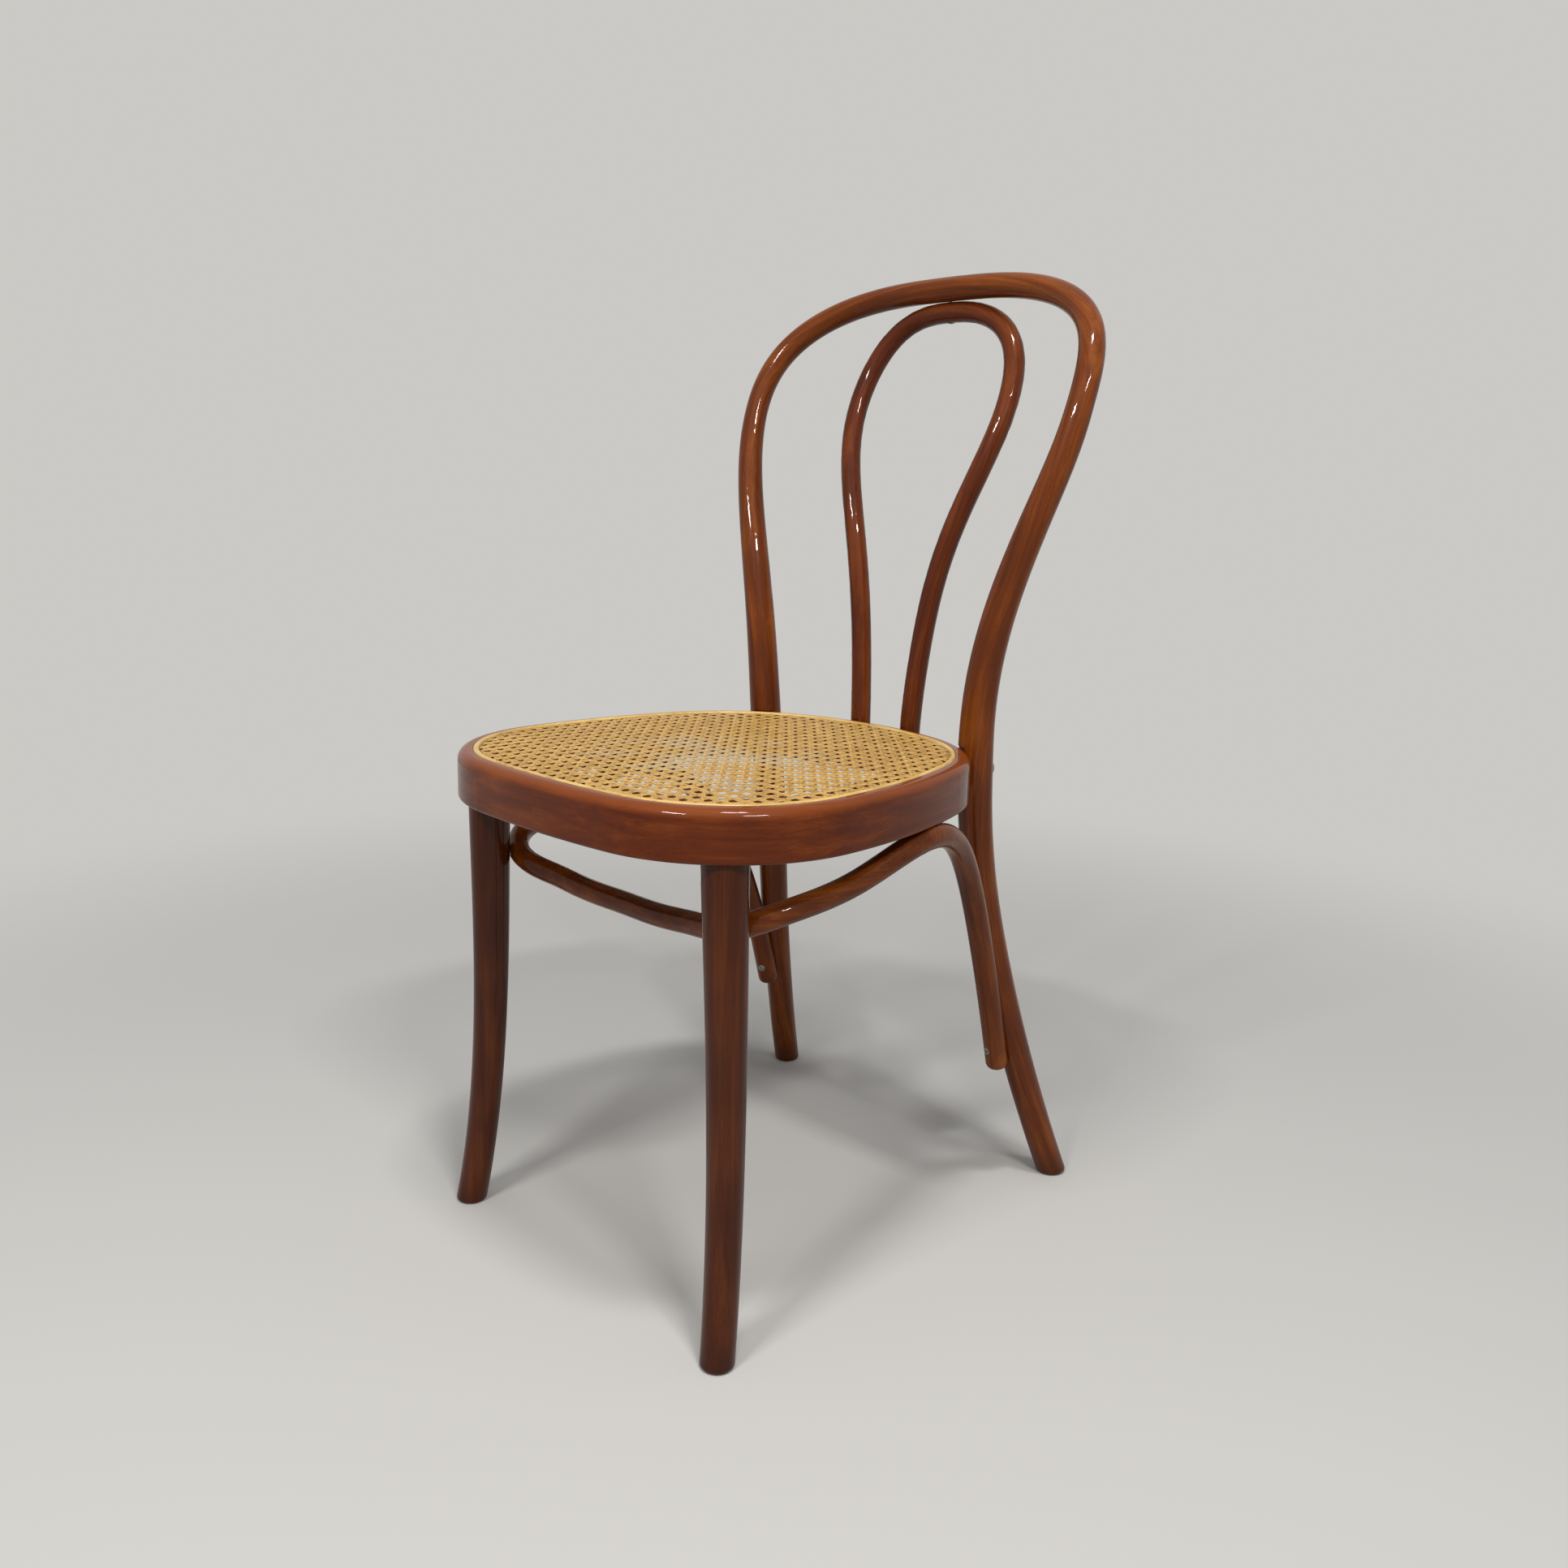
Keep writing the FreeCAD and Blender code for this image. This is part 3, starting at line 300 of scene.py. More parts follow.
def lacquered_beech(name, grain_place, stains, painted_light_above=None):
    """Stained beech under gloss lacquer. grain_place adds the nodes that say
    where a point lies across and along the grain. Stains are dark, mid, light."""
    material, tree, output = new_material(name)
    place = add(tree, "ShaderNodeTexCoord").outputs["Object"]
    grain = grain_place(tree, place)
    bands = stretched_noise(tree, grain, BAND_WIDTH, BAND_LENGTH, 3.0)
    streaks = stretched_noise(tree, grain, STREAK_WIDTH, STREAK_LENGTH, 3.0)
    flecks = stretched_noise(tree, grain, FLECK_WIDTH, FLECK_LENGTH, 1.0)
    blotches = add(tree, "ShaderNodeTexNoise", {"Vector": place, "Scale": 1 / BLOTCH, "Detail": 2.0})

    tone = add(tree, "ShaderNodeMath", {0: bands, 1: BAND_SHARE}, operation="MULTIPLY").outputs[0]
    for pattern, share in ((streaks, STREAK_SHARE), (blotches.outputs["Fac"], BLOTCH_SHARE)):
        tone = add(
            tree, "ShaderNodeMath", {0: pattern, 1: share, 2: tone}, operation="MULTIPLY_ADD"
        ).outputs[0]
    stain = add(tree, "ShaderNodeValToRGB", {"Fac": tone})
    fill_ramp(stain.color_ramp.elements, list(zip(STAIN_PLACES, stains)))
    wood = stain.outputs["Color"]
    fleck_share = add(
        tree, "ShaderNodeMapRange",
        {
            "Value": flecks, "From Min": FLECK_LOW, "From Max": FLECK_HIGH,
            "To Min": 0.0, "To Max": FLECK_STRENGTH,
        },
    ).outputs["Result"]
    wood = add(
        tree, "ShaderNodeMix", {"Factor": fleck_share, "A": wood, "B": linear(FLECK)}, data_type="RGBA"
    ).outputs["Result"]
    height = add(tree, "ShaderNodeSeparateXYZ", {0: place}).outputs["Z"]
    # Darker towards the floor: over the lowest few centimetres the wood turns towards the fleck colour.
    foot_darkening = add(
        tree, "ShaderNodeMapRange",
        {
            "Value": height, "From Min": 0.0, "From Max": FOOT_DARKENING_HEIGHT,
            "To Min": FOOT_DARKENING_STRENGTH, "To Max": 0.0,
        },
    ).outputs["Result"]
    wood = add(
        tree, "ShaderNodeMix", {"Factor": foot_darkening, "A": wood, "B": linear(FLECK)}, data_type="RGBA"
    ).outputs["Result"]
    # Painted light: between these two heights the wood turns towards the lighter colour, as on a lit top
    # edge.
    if painted_light_above:
        low, high = painted_light_above
        painted_top_light = add(
            tree, "ShaderNodeMapRange",
            {
                "Value": height, "From Min": low, "From Max": high,
                "To Min": 0.0, "To Max": TOP_EDGE_PAINTED_LIGHT_STRENGTH,
            },
            interpolation_type="SMOOTHSTEP",
        ).outputs["Result"]
        wood = add(
            tree, "ShaderNodeMix", {"Factor": painted_top_light, "A": wood, "B": linear(TOP_EDGE_PAINTED_LIGHT)}, data_type="RGBA"
        ).outputs["Result"]

    roughness = add(
        tree, "ShaderNodeMapRange",
        {
            "Value": streaks, "From Min": NOISE_LOW, "From Max": NOISE_HIGH,
            "To Min": WOOD_SMOOTHEST, "To Max": WOOD_ROUGHEST,
        },
    ).outputs["Result"]
    pores = add(
        tree, "ShaderNodeBump",
        {"Height": streaks, "Strength": 0.25, "Distance": PORE_DEPTH},
    ).outputs["Normal"]
    peel = add(tree, "ShaderNodeTexNoise", {"Vector": place, "Scale": 1 / ORANGE_PEEL, "Detail": 1.0})
    coat_bump = add(
        tree, "ShaderNodeBump",
        {"Height": peel.outputs["Fac"], "Strength": 0.3, "Distance": PEEL_DEPTH},
    ).outputs["Normal"]
    shader = add(
        tree, "ShaderNodeBsdfPrincipled",
        {
            "Base Color": wood, "Roughness": roughness, "Normal": pores,
            "Specular IOR Level": WOOD_SHINE, "Coat Weight": COAT_WEIGHT,
            "Coat Roughness": COAT_ROUGHNESS, "Coat IOR": COAT_IOR, "Coat Normal": coat_bump,
        },
    )
    tree.links.new(shader.outputs[0], output.inputs["Surface"])
    return material


def put_on(node_name, material):
    """Gives a frame node its finish."""
    piece = nodes[node_name]
    if not piece.material_slots:
        piece.data.materials.append(material)
    for slot in piece.material_slots:
        slot.material = material


# %% [markdown]
# Grain that follows the bends
#
# A hooped rod runs up one side, over the crown and down the other. Below the
# crown its grain place is its offset from the rod's centre line, read from a
# curve of height, and its height. Over the crown it is an angle round the
# middle of the hoop, times a radius, which takes over without a step.

# %% Places that the grain follows, in metres
SEAT_CENTRE_Y = -0.0565
SEAT_TOP = 0.442
RING_GRAIN_RADIUS = 0.2
BRACE_GRAIN_RADIUS = 0.18
# The brace's rod as place to the back and height, under the ring and at its end.
# The end's place to the back is an estimate.
BRACE_TOP = (-0.0145, 0.389)
BRACE_END = (0.160, 0.122)
BRACE_BEND_POWER = 2.7
# Where the brace is steepest, this share of a step upwards goes across it.
BRACE_STEEPEST = 0.26
BRACE_TURN = 40 * MM
HOOP_CROWN_START = 0.760
HOOP_CROWN_HEIGHT = 0.115
HOOP_HALF_WIDTH = 0.2018
LOOP_CROWN_START = 0.7506
LOOP_CROWN_HEIGHT = 0.102
LOOP_HALF_WIDTH = 0.0943
# Each stop is a height with the rod's distance to the side or to the back there.
HOOP_SIDE_STOPS = [
    (0.0, 0.185), (0.17, 0.155), (0.34, 0.1387), (0.5, 0.150), (0.62, 0.183),
    (0.76, 0.2018), (0.875, 0.2018),
]
HOOP_BACK_STOPS = [
    (0.0, 0.238), (0.12, 0.189), (0.30, 0.142), (0.45, 0.133), (0.60, 0.141),
    (0.76, 0.177), (0.875, 0.244),
]
LOOP_SIDE_STOPS = [
    (0.0, 0.032), (0.40, 0.032), (0.50, 0.041), (0.60, 0.062), (0.7506, 0.0943),
    (0.8526, 0.0943),
]
LOOP_BACK_STOPS = [
    (0.0, 0.173), (0.45, 0.173), (0.58, 0.184), (0.70, 0.203), (0.78, 0.223),
    (0.8526, 0.249),
]


# %% Grain of a hooped rod
def line_of_height(tree, height, top, stops):
    """The rod's centre at a height, drawn as a curve through a few stops."""
    share = add(tree, "ShaderNodeMath", {0: height, 1: top}, operation="DIVIDE").outputs[0]
    curve = add(tree, "ShaderNodeFloatCurve", {"Value": share})
    points = curve.mapping.curves[0].points
    while len(points) < len(stops):
        points.new(0.5, 0.5)
    for point, (z, offset) in zip(points, stops):
        point.location = (z / top, offset / top)
    curve.mapping.update()
    return add(tree, "ShaderNodeMath", {0: curve.outputs[0], 1: top}, operation="MULTIPLY").outputs[0]


def hooped_grain(crown_start, half_width, crown_height, side_stops, back_stops):
    """Grain of a rod that is bent into a hoop. Stops are heights and offsets."""

    def grain_place(tree, place):
        axes = add(tree, "ShaderNodeSeparateXYZ", {0: place}).outputs
        above = add(tree, "ShaderNodeMath", {0: axes["Z"], 1: crown_start}, operation="SUBTRACT").outputs[0]
        rise = add(tree, "ShaderNodeMath", {0: above, 1: 0.0}, operation="MAXIMUM").outputs[0]
        below = add(tree, "ShaderNodeMath", {0: above, 1: 0.0}, operation="MINIMUM").outputs[0]
        # The crown is an oval, so its rise is scaled to make it round.
        rise = add(tree, "ShaderNodeMath", {0: rise, 1: half_width / crown_height}, operation="MULTIPLY")
        turned = add(
            tree, "ShaderNodeMath", {0: rise.outputs[0], 1: axes["X"]}, operation="ARCTAN2"
        ).outputs[0]
        side = add(tree, "ShaderNodeMath", {0: axes["X"]}, operation="SIGN").outputs[0]
        down = add(tree, "ShaderNodeMath", {0: below, 1: side}, operation="MULTIPLY").outputs[0]
        run = (half_width + crown_height) / 2
        along = add(tree, "ShaderNodeMath", {0: turned, 1: run, 2: down}, operation="MULTIPLY_ADD").outputs[0]
        flat = add(tree, "ShaderNodeCombineXYZ", {"X": axes["X"], "Y": rise.outputs[0]}).outputs[0]
        spread = add(tree, "ShaderNodeVectorMath", {0: flat}, operation="LENGTH").outputs["Value"]
        top = crown_start + crown_height
        middle = line_of_height(tree, axes["Z"], top, side_stops)
        back = line_of_height(tree, axes["Z"], top, back_stops)
        across = add(tree, "ShaderNodeMath", {0: spread, 1: middle}, operation="SUBTRACT").outputs[0]
        behind = add(tree, "ShaderNodeMath", {0: axes["Y"], 1: back}, operation="SUBTRACT").outputs[0]
        return add(tree, "ShaderNodeCombineXYZ", {"X": across, "Y": behind, "Z": along}).outputs[0]

    return grain_place


# %% Grain of the legs, the ring and the brace
def ring_grain(centre_y, radius):
    """Grain that runs round a ring about a centre on X = 0."""

    def grain_place(tree, place):
        axes = add(tree, "ShaderNodeSeparateXYZ", {0: place}).outputs
        y = add(tree, "ShaderNodeMath", {0: axes["Y"], 1: centre_y}, operation="SUBTRACT").outputs[0]
        angle = add(tree, "ShaderNodeMath", {0: axes["X"], 1: y}, operation="ARCTAN2").outputs[0]
        along = add(tree, "ShaderNodeMath", {0: angle, 1: radius}, operation="MULTIPLY").outputs[0]
        flat = add(tree, "ShaderNodeCombineXYZ", {"X": axes["X"], "Y": y}).outputs[0]
        out = add(tree, "ShaderNodeVectorMath", {0: flat}, operation="LENGTH").outputs["Value"]
        return add(tree, "ShaderNodeCombineXYZ", {"X": out, "Y": axes["Z"], "Z": along}).outputs[0]

    return grain_place


def upright_grain(tree, place):
    """Grain that runs straight up a leg, so the place is used as it is."""
    return place


def brace_grain(tree, place):
    """Round the seat in front, and down the rod where its ends fall behind."""
    round_seat = ring_grain(SEAT_CENTRE_Y, BRACE_GRAIN_RADIUS)(tree, place)
    axes = add(tree, "ShaderNodeSeparateXYZ", {0: place}).outputs
    top_y, top_z = BRACE_TOP
    end_y, end_z = BRACE_END
    back = add(
        tree, "ShaderNodeMapRange", {"Value": axes["Y"], "From Min": top_y, "From Max": end_y}
    ).outputs["Result"]
    drop = add(tree, "ShaderNodeMath", {0: back, 1: BRACE_BEND_POWER}, operation="POWER").outputs[0]
    line = add(
        tree, "ShaderNodeMath", {0: drop, 1: end_z - top_z, 2: top_z}, operation="MULTIPLY_ADD"
    ).outputs[0]
    above = add(tree, "ShaderNodeMath", {0: axes["Z"], 1: line}, operation="SUBTRACT").outputs[0]
    # Where the rod is steep, a step upwards is only a short step across it.
    steep = add(
        tree, "ShaderNodeMapRange", {"Value": back, "To Min": 1.0, "To Max": BRACE_STEEPEST}
    ).outputs["Result"]
    across = add(tree, "ShaderNodeMath", {0: above, 1: steep}, operation="MULTIPLY").outputs[0]
    along = add(tree, "ShaderNodeMath", {0: axes["Y"], 1: axes["Z"]}, operation="SUBTRACT").outputs[0]
    falling = add(tree, "ShaderNodeCombineXYZ", {"X": axes["X"], "Y": across, "Z": along}).outputs[0]
    share = add(
        tree, "ShaderNodeMapRange", {"Value": axes["Y"], "From Min": top_y, "From Max": top_y + BRACE_TURN}
    ).outputs["Result"]
    return add(
        tree, "ShaderNodeMix", {"Factor": share, "A": round_seat, "B": falling}, data_type="VECTOR"
    ).outputs["Result"]


# %% The frame's finishes
frame_beech = lacquered_beech(
    "bent_beech_lacquered_hoop",
    hooped_grain(HOOP_CROWN_START, HOOP_HALF_WIDTH, HOOP_CROWN_HEIGHT, HOOP_SIDE_STOPS, HOOP_BACK_STOPS),
    HOOP_STAINS,
)
loop_beech = lacquered_beech(
    "bent_beech_lacquered_loop",
    hooped_grain(LOOP_CROWN_START, LOOP_HALF_WIDTH, LOOP_CROWN_HEIGHT, LOOP_SIDE_STOPS, LOOP_BACK_STOPS),
    LOOP_STAINS,
)
ring_beech = lacquered_beech(
    "bent_beech_lacquered_ring",
    ring_grain(SEAT_CENTRE_Y, RING_GRAIN_RADIUS),
    RING_STAINS,
    # Painted light along the ring's lit top edge.
    painted_light_above=(SEAT_TOP - 9 * MM, SEAT_TOP - 2 * MM),
)
# The legs' stain is darkened with painted shade.
leg_beech = lacquered_beech("turned_beech_lacquered_leg", upright_grain, LEG_STAINS_WITH_PAINTED_SHADE)
brace_beech = lacquered_beech("bent_beech_lacquered_brace", brace_grain, BRACE_STAINS)
WOODEN_PIECES = {
    "back_frame": frame_beech,
    "inner_loop": loop_beech,
    "seat_ring": ring_beech,
    "front_leg_right": leg_beech,
    "front_leg_left": leg_beech,
    "leg_brace": brace_beech,
}
for name, finish in WOODEN_PIECES.items():
    put_on(name, finish)
print("lacquered beech on:", ", ".join(WOODEN_PIECES))

# %% [markdown]
# Zinc-plated screws
#
# The bolts, nuts, washers and screws are plain zinc-plated steel, dulled by
# age: a metal with a soft, uneven shine. Fine noise in the roughness is
# enough, because the pieces are small.

# %% Zinc-plated steel
ZINC_DULL = "#77736a"
ZINC_BRIGHT = "#a8a59c"
ZINC_MOTTLE = 2 * MM
ZINC_SMOOTHEST = 0.3
ZINC_ROUGHEST = 0.5

steel, tree, output = new_material("zinc_plated_steel")
place = add(tree, "ShaderNodeTexCoord").outputs["Object"]
mottle = add(tree, "ShaderNodeTexNoise", {"Vector": place, "Scale": 1 / ZINC_MOTTLE, "Detail": 3.0})
mottle = mottle.outputs["Fac"]
zinc = add(tree, "ShaderNodeValToRGB", {"Fac": mottle})
fill_ramp(zinc.color_ramp.elements, [(0.35, ZINC_DULL), (0.65, ZINC_BRIGHT)])
roughness = add(
    tree, "ShaderNodeMapRange",
    {
        "Value": mottle, "From Min": NOISE_LOW, "From Max": NOISE_HIGH,
        "To Min": ZINC_SMOOTHEST, "To Max": ZINC_ROUGHEST,
    },
).outputs["Result"]
shader = add(
    tree, "ShaderNodeBsdfPrincipled",
    {"Base Color": zinc.outputs["Color"], "Metallic": 1.0, "Roughness": roughness},
)
tree.links.new(shader.outputs[0], output.inputs["Surface"])
fasteners = [name for name in nodes if name.startswith("frame_") or "screw" in name]
for name in fasteners:
    put_on(name, steel)
print("zinc-plated steel on:", ", ".join(fasteners))

# %% [markdown]
# Split reed in the groove
#
# The webbing is held by a reed that is tapped into the groove round the seat.
# It is one length, straw-coloured, with long fibres that run round the ring.
# A butt joint at the back is a guess at where its ends meet.

# %% Reed spline
# A real joint is tighter than this one, which is still too fine to show from afar.
JOINT_HALF_WIDTH = 0.25 * MM
JOINT_COLOUR = "#3b2610"
REED_STRAWS = ("#9c7430", "#c9a253", "#dcbd74")
REED_PLACES = (0.34, 0.5, 0.66)
REED_FIBRE_WIDTH = 0.9 * MM
REED_FIBRE_LENGTH = 40 * MM
REED_PATCH_WIDTH = 20 * MM
REED_PATCH_LENGTH = 45 * MM
REED_PATTERN_SHARE = 0.5

reed, tree, output = new_material("split_reed_glued")
place = add(tree, "ShaderNodeTexCoord").outputs["Object"]
grain = ring_grain(SEAT_CENTRE_Y, RING_GRAIN_RADIUS)(tree, place)
fibres = stretched_noise(tree, grain, REED_FIBRE_WIDTH, REED_FIBRE_LENGTH, 3.0)
patches = stretched_noise(tree, grain, REED_PATCH_WIDTH, REED_PATCH_LENGTH, 2.0)
tone = add(tree, "ShaderNodeMath", {0: patches, 1: REED_PATTERN_SHARE}, operation="MULTIPLY").outputs[0]
tone = add(
    tree, "ShaderNodeMath", {0: fibres, 1: REED_PATTERN_SHARE, 2: tone}, operation="MULTIPLY_ADD"
).outputs[0]
straw = add(tree, "ShaderNodeValToRGB", {"Fac": tone})
fill_ramp(straw.color_ramp.elements, list(zip(REED_PLACES, REED_STRAWS)))
axes = add(tree, "ShaderNodeSeparateXYZ", {0: place}).outputs
joint = add(
    tree, "ShaderNodeMath", {0: axes["X"], 1: 0.0, 2: JOINT_HALF_WIDTH}, operation="COMPARE"
).outputs[0]
behind = add(tree, "ShaderNodeMath", {0: axes["Y"], 1: 0.0}, operation="GREATER_THAN").outputs[0]
joint = add(tree, "ShaderNodeMath", {0: joint, 1: behind}, operation="MULTIPLY").outputs[0]
straw = add(
    tree, "ShaderNodeMix",
    {"Factor": joint, "A": straw.outputs["Color"], "B": linear(JOINT_COLOUR)},
    data_type="RGBA",
).outputs["Result"]
bump = add(
    tree, "ShaderNodeBump", {"Height": fibres, "Strength": 0.5, "Distance": 0.1 * MM}
).outputs["Normal"]
shader = add(
    tree, "ShaderNodeBsdfPrincipled",
    {"Base Color": straw, "Roughness": 0.42, "Normal": bump, "Coat Weight": 0.3, "Coat Roughness": 0.25},
)
tree.links.new(shader.outputs[0], output.inputs["Surface"])
put_on("cane_spline", reed)
print("split reed on: cane_spline")

# %% [markdown]
# Woven cane
#
# Cane webbing has six sets of strands: a pair front to back, a pair side to
# side, and a single strand on each diagonal. The pairs are woven over and
# under each other where they cross, and each diagonal goes over one pair and
# under the other, which leaves eight-sided holes. One short length of each
# strand is shaped from a cube and bisected where it must bend. Arrays repeat
# it over the seat, what lies past the groove is deleted, and the ends are
# closed. It could be one flat sheet with a pattern, but then the low view
# over the seat would show no strands standing over each other.

# %% Sizes of the weave
PITCH = 13 * MM
PAIR_HALF_SPACING = 1.55 * MM
PAIR_STRAND = 2.9 * MM
DIAGONAL_STRAND = 3.0 * MM
STRAND_THICKNESS = 0.6 * MM
WEAVE_TURN = math.radians(-1.5)
WEAVE_DEPTH = 0.6 * MM
WEAVE_MIDDLE = Vector((0.0, SEAT_CENTRE_Y, SEAT_TOP - WEAVE_DEPTH))
CELLS = 36
OUTLINE_STEP = 2 * MM


def groove_outline():
    """The groove's outer edge in plan, as corner points in order."""
    flat = [v.co.to_2d() for v in nodes["cane_spline"].data.vertices]
    kept = []
    for i in geometry.convex_hull_2d(flat):
        # Corners that nearly coincide would give an edge a wrong direction.
        if all((flat[i] - corner).length > OUTLINE_STEP for corner in kept):
            kept.append(flat[i])
    return kept


outline = groove_outline()
corners = np.array([tuple(p) for p in outline])
edges = np.roll(corners, -1, axis=0) - corners
inwards = np.stack([-edges[:, 1], edges[:, 0]], axis=1) / np.linalg.norm(edges, axis=1)[:, None]
if ((corners.mean(0) - corners[0]) @ inwards[0]) < 0:
    inwards = -inwards


def inset_of(points):
    """How far each point lies inside the groove's outer edge, in plan."""
    gaps = (points[:, None, :2] - corners[None]) * inwards[None]
    return gaps.sum(axis=2).min(axis=1)


print("groove outline:", len(outline), "corners")


# %% Choosing and moving points
def select_points(piece, chosen):
    """Selects the points of a piece that are marked true, and nothing else."""
    for parts in (piece.data.polygons, piece.data.edges):
        parts.foreach_set("select", [False] * len(parts))
    piece.data.vertices.foreach_set("select", chosen)


def select_where(piece, test):
    """Selects a piece's points that pass a test, and nothing else."""
    select_points(piece, [test(vertex.co) for vertex in piece.data.vertices])


def in_edit_mode(operator, **settings):
    """Runs one operator in edit mode on what is selected."""
    bpy.ops.object.mode_set(mode="EDIT")
    operator(**settings)
    bpy.ops.object.mode_set(mode="OBJECT")


def points_of(piece):
    """A piece's points as rows of x, y and z."""
    points = np.zeros(len(piece.data.vertices) * 3)
    piece.data.vertices.foreach_get("co", points)
    return points.reshape(-1, 3)


# %% One length of strand
TOP_SHARE = 0.45
UNDERSIDE_LIFT = 0.12 * MM
SAME_PLACE = 0.01 * MM
END_FACING = 0.9


def strand_cell(name, start, run, width, bends):
    """A short strand from a start along a run in plan. Bends are distances
    along it with the height that the strand has there."""
    length = run.length
    direction = run.normalized()
    bpy.ops.object.select_all(action="DESELECT")
    bpy.ops.mesh.primitive_cube_add(size=1.0)
    cell = bpy.context.object
    cell.name = name
    cell.scale = (length, width, STRAND_THICKNESS)
    cell.location = (length / 2, 0, 0)
    bpy.ops.object.transform_apply(location=True, rotation=True, scale=True)
    bpy.ops.object.mode_set(mode="EDIT")
    for distance, _ in bends:
        if 0 < distance < length:
            bpy.ops.mesh.select_all(action="SELECT")
            bpy.ops.mesh.bisect(plane_co=(distance, 0, 0), plane_no=(1, 0, 0))
    bpy.ops.object.mode_set(mode="OBJECT")
    # The rounded skin of the cane is on top, so its top is narrowed.
    select_where(cell, lambda v: v.z > 0)
    in_edit_mode(bpy.ops.transform.resize, value=(1, TOP_SHARE, 1))
    select_where(cell, lambda v: v.z < 0)
    in_edit_mode(bpy.ops.transform.translate, value=(0, 0, UNDERSIDE_LIFT))
    for distance, height in bends:
        select_where(cell, lambda v: abs(v.x - distance) < SAME_PLACE)
        in_edit_mode(bpy.ops.transform.translate, value=(0, 0, height))
    # The open ends of neighbours meet, so the end faces go.
    for face in cell.data.polygons:
        face.select = abs(face.normal.x) > END_FACING
    bpy.ops.object.mode_set(mode="EDIT")
    bpy.ops.mesh.select_mode(type="FACE")
    bpy.ops.mesh.delete(type="FACE")
    bpy.ops.mesh.select_mode(type="VERT")
    bpy.ops.object.mode_set(mode="OBJECT")
    cell.location = (start.x, start.y, 0)
    cell.rotation_euler = (0, 0, math.atan2(direction.y, direction.x))
    bpy.ops.object.transform_apply(location=True, rotation=True, scale=True)
    return cell


# %% Repeating and trimming
TRIM_INSET = 3.0 * MM
# Nearer to the edge than the first distance, the strands drop by the second.
DIP_STEPS = [(9.0 * MM, 0.3 * MM), (7.0 * MM, 0.4 * MM), (5.2 * MM, 0.5 * MM)]
MERGE_DISTANCE = 0.05 * MM
SMOOTH_ANGLE = math.radians(50)


def woven(cells, name, steps):
    """Repeats the cells over the seat, trims them at the groove and dips them
    into it."""
    bpy.ops.object.select_all(action="DESELECT")
    for cell in cells:
        cell.select_set(True)
    bpy.context.view_layer.objects.active = cells[0]
    if len(cells) > 1:
        bpy.ops.object.join()
    weave = bpy.context.view_layer.objects.active
    weave.name = name
    for step in steps:
        repeat = weave.modifiers.new("repeat", "ARRAY")
        repeat.use_relative_offset = False
        repeat.use_constant_offset = True
        repeat.constant_offset_displace = step
        repeat.count = CELLS
        repeat.use_merge_vertices = True
        repeat.merge_threshold = MERGE_DISTANCE
        bpy.ops.object.modifier_apply(modifier=repeat.name)
    middle_step = (Vector(steps[0]) + Vector(steps[1])) * (CELLS / 2)
    weave.data.transform(Matrix.Translation(-middle_step))
    weave.data.transform(Matrix.Translation(WEAVE_MIDDLE) @ Matrix.Rotation(WEAVE_TURN, 4, "Z"))
    select_points(weave, inset_of(points_of(weave)) < TRIM_INSET)
    bpy.ops.object.mode_set(mode="EDIT")
    bpy.ops.mesh.select_mode(type="VERT")
    bpy.ops.mesh.delete(type="VERT")
    bpy.ops.mesh.select_all(action="SELECT")
    bpy.ops.mesh.fill_holes(sides=6)
    bpy.ops.mesh.select_all(action="SELECT")
    bpy.ops.mesh.normals_make_consistent(inside=False)
    bpy.ops.object.mode_set(mode="OBJECT")
    inset = inset_of(points_of(weave))
    for reach, drop in DIP_STEPS:
        select_points(weave, inset < reach)
        in_edit_mode(bpy.ops.transform.translate, value=(0, 0, -drop))
    bpy.ops.object.select_all(action="DESELECT")
    weave.select_set(True)
    bpy.context.view_layer.objects.active = weave
    bpy.ops.object.shade_smooth_by_angle(angle=SMOOTH_ANGLE)
    print(name, "triangles:", sum(len(f.vertices) - 2 for f in weave.data.polygons))
    return weave


# %% The four weaves
HALF = STRAND_THICKNESS / 2
FULL = STRAND_THICKNESS
BEND_RUN = 2.2 * MM
FLAT_RUN = 2.9 * MM
near = PITCH / 2 - PAIR_HALF_SPACING
beyond = PITCH / 2 + PAIR_HALF_SPACING
rising = [
    (0, 0), (near - BEND_RUN, 0), (near, -HALF), (beyond, HALF), (beyond + BEND_RUN, 0), (PITCH, 0),
]
falling = [(distance, -height) for distance, height in rising]
along_y = Vector((0, PITCH, 0))
along_x = Vector((PITCH, 0, 0))
front_to_back = woven(
    [
        strand_cell("cell", Vector((near, 0, 0)), along_y, PAIR_STRAND, rising),
        strand_cell("cell", Vector((beyond, 0, 0)), along_y, PAIR_STRAND, falling),
    ],
    "cane_front_to_back", [along_y, along_x],
)
side_to_side = woven(
    [
        strand_cell("cell", Vector((0, near, 0)), along_x, PAIR_STRAND, falling),
        strand_cell("cell", Vector((0, beyond, 0)), along_x, PAIR_STRAND, rising),
    ],
    "cane_side_to_side", [along_x, along_y],
)
crossing = PITCH / math.sqrt(2)
under_first = [
    (0, -FULL), (FLAT_RUN, -FULL), (crossing / 2, 0), (crossing - FLAT_RUN, FULL), (crossing, FULL),
    (crossing + FLAT_RUN, FULL), (1.5 * crossing, 0), (2 * crossing - FLAT_RUN, -FULL),
    (2 * crossing, -FULL),
]
over_first = [(distance, -height) for distance, height in under_first]
diagonal_right = woven(
    [strand_cell("cell", Vector((PITCH / 2, 0, 0)), along_x + along_y, DIAGONAL_STRAND, under_first)],
    "cane_diagonal_right", [along_x + along_y, along_x],
)
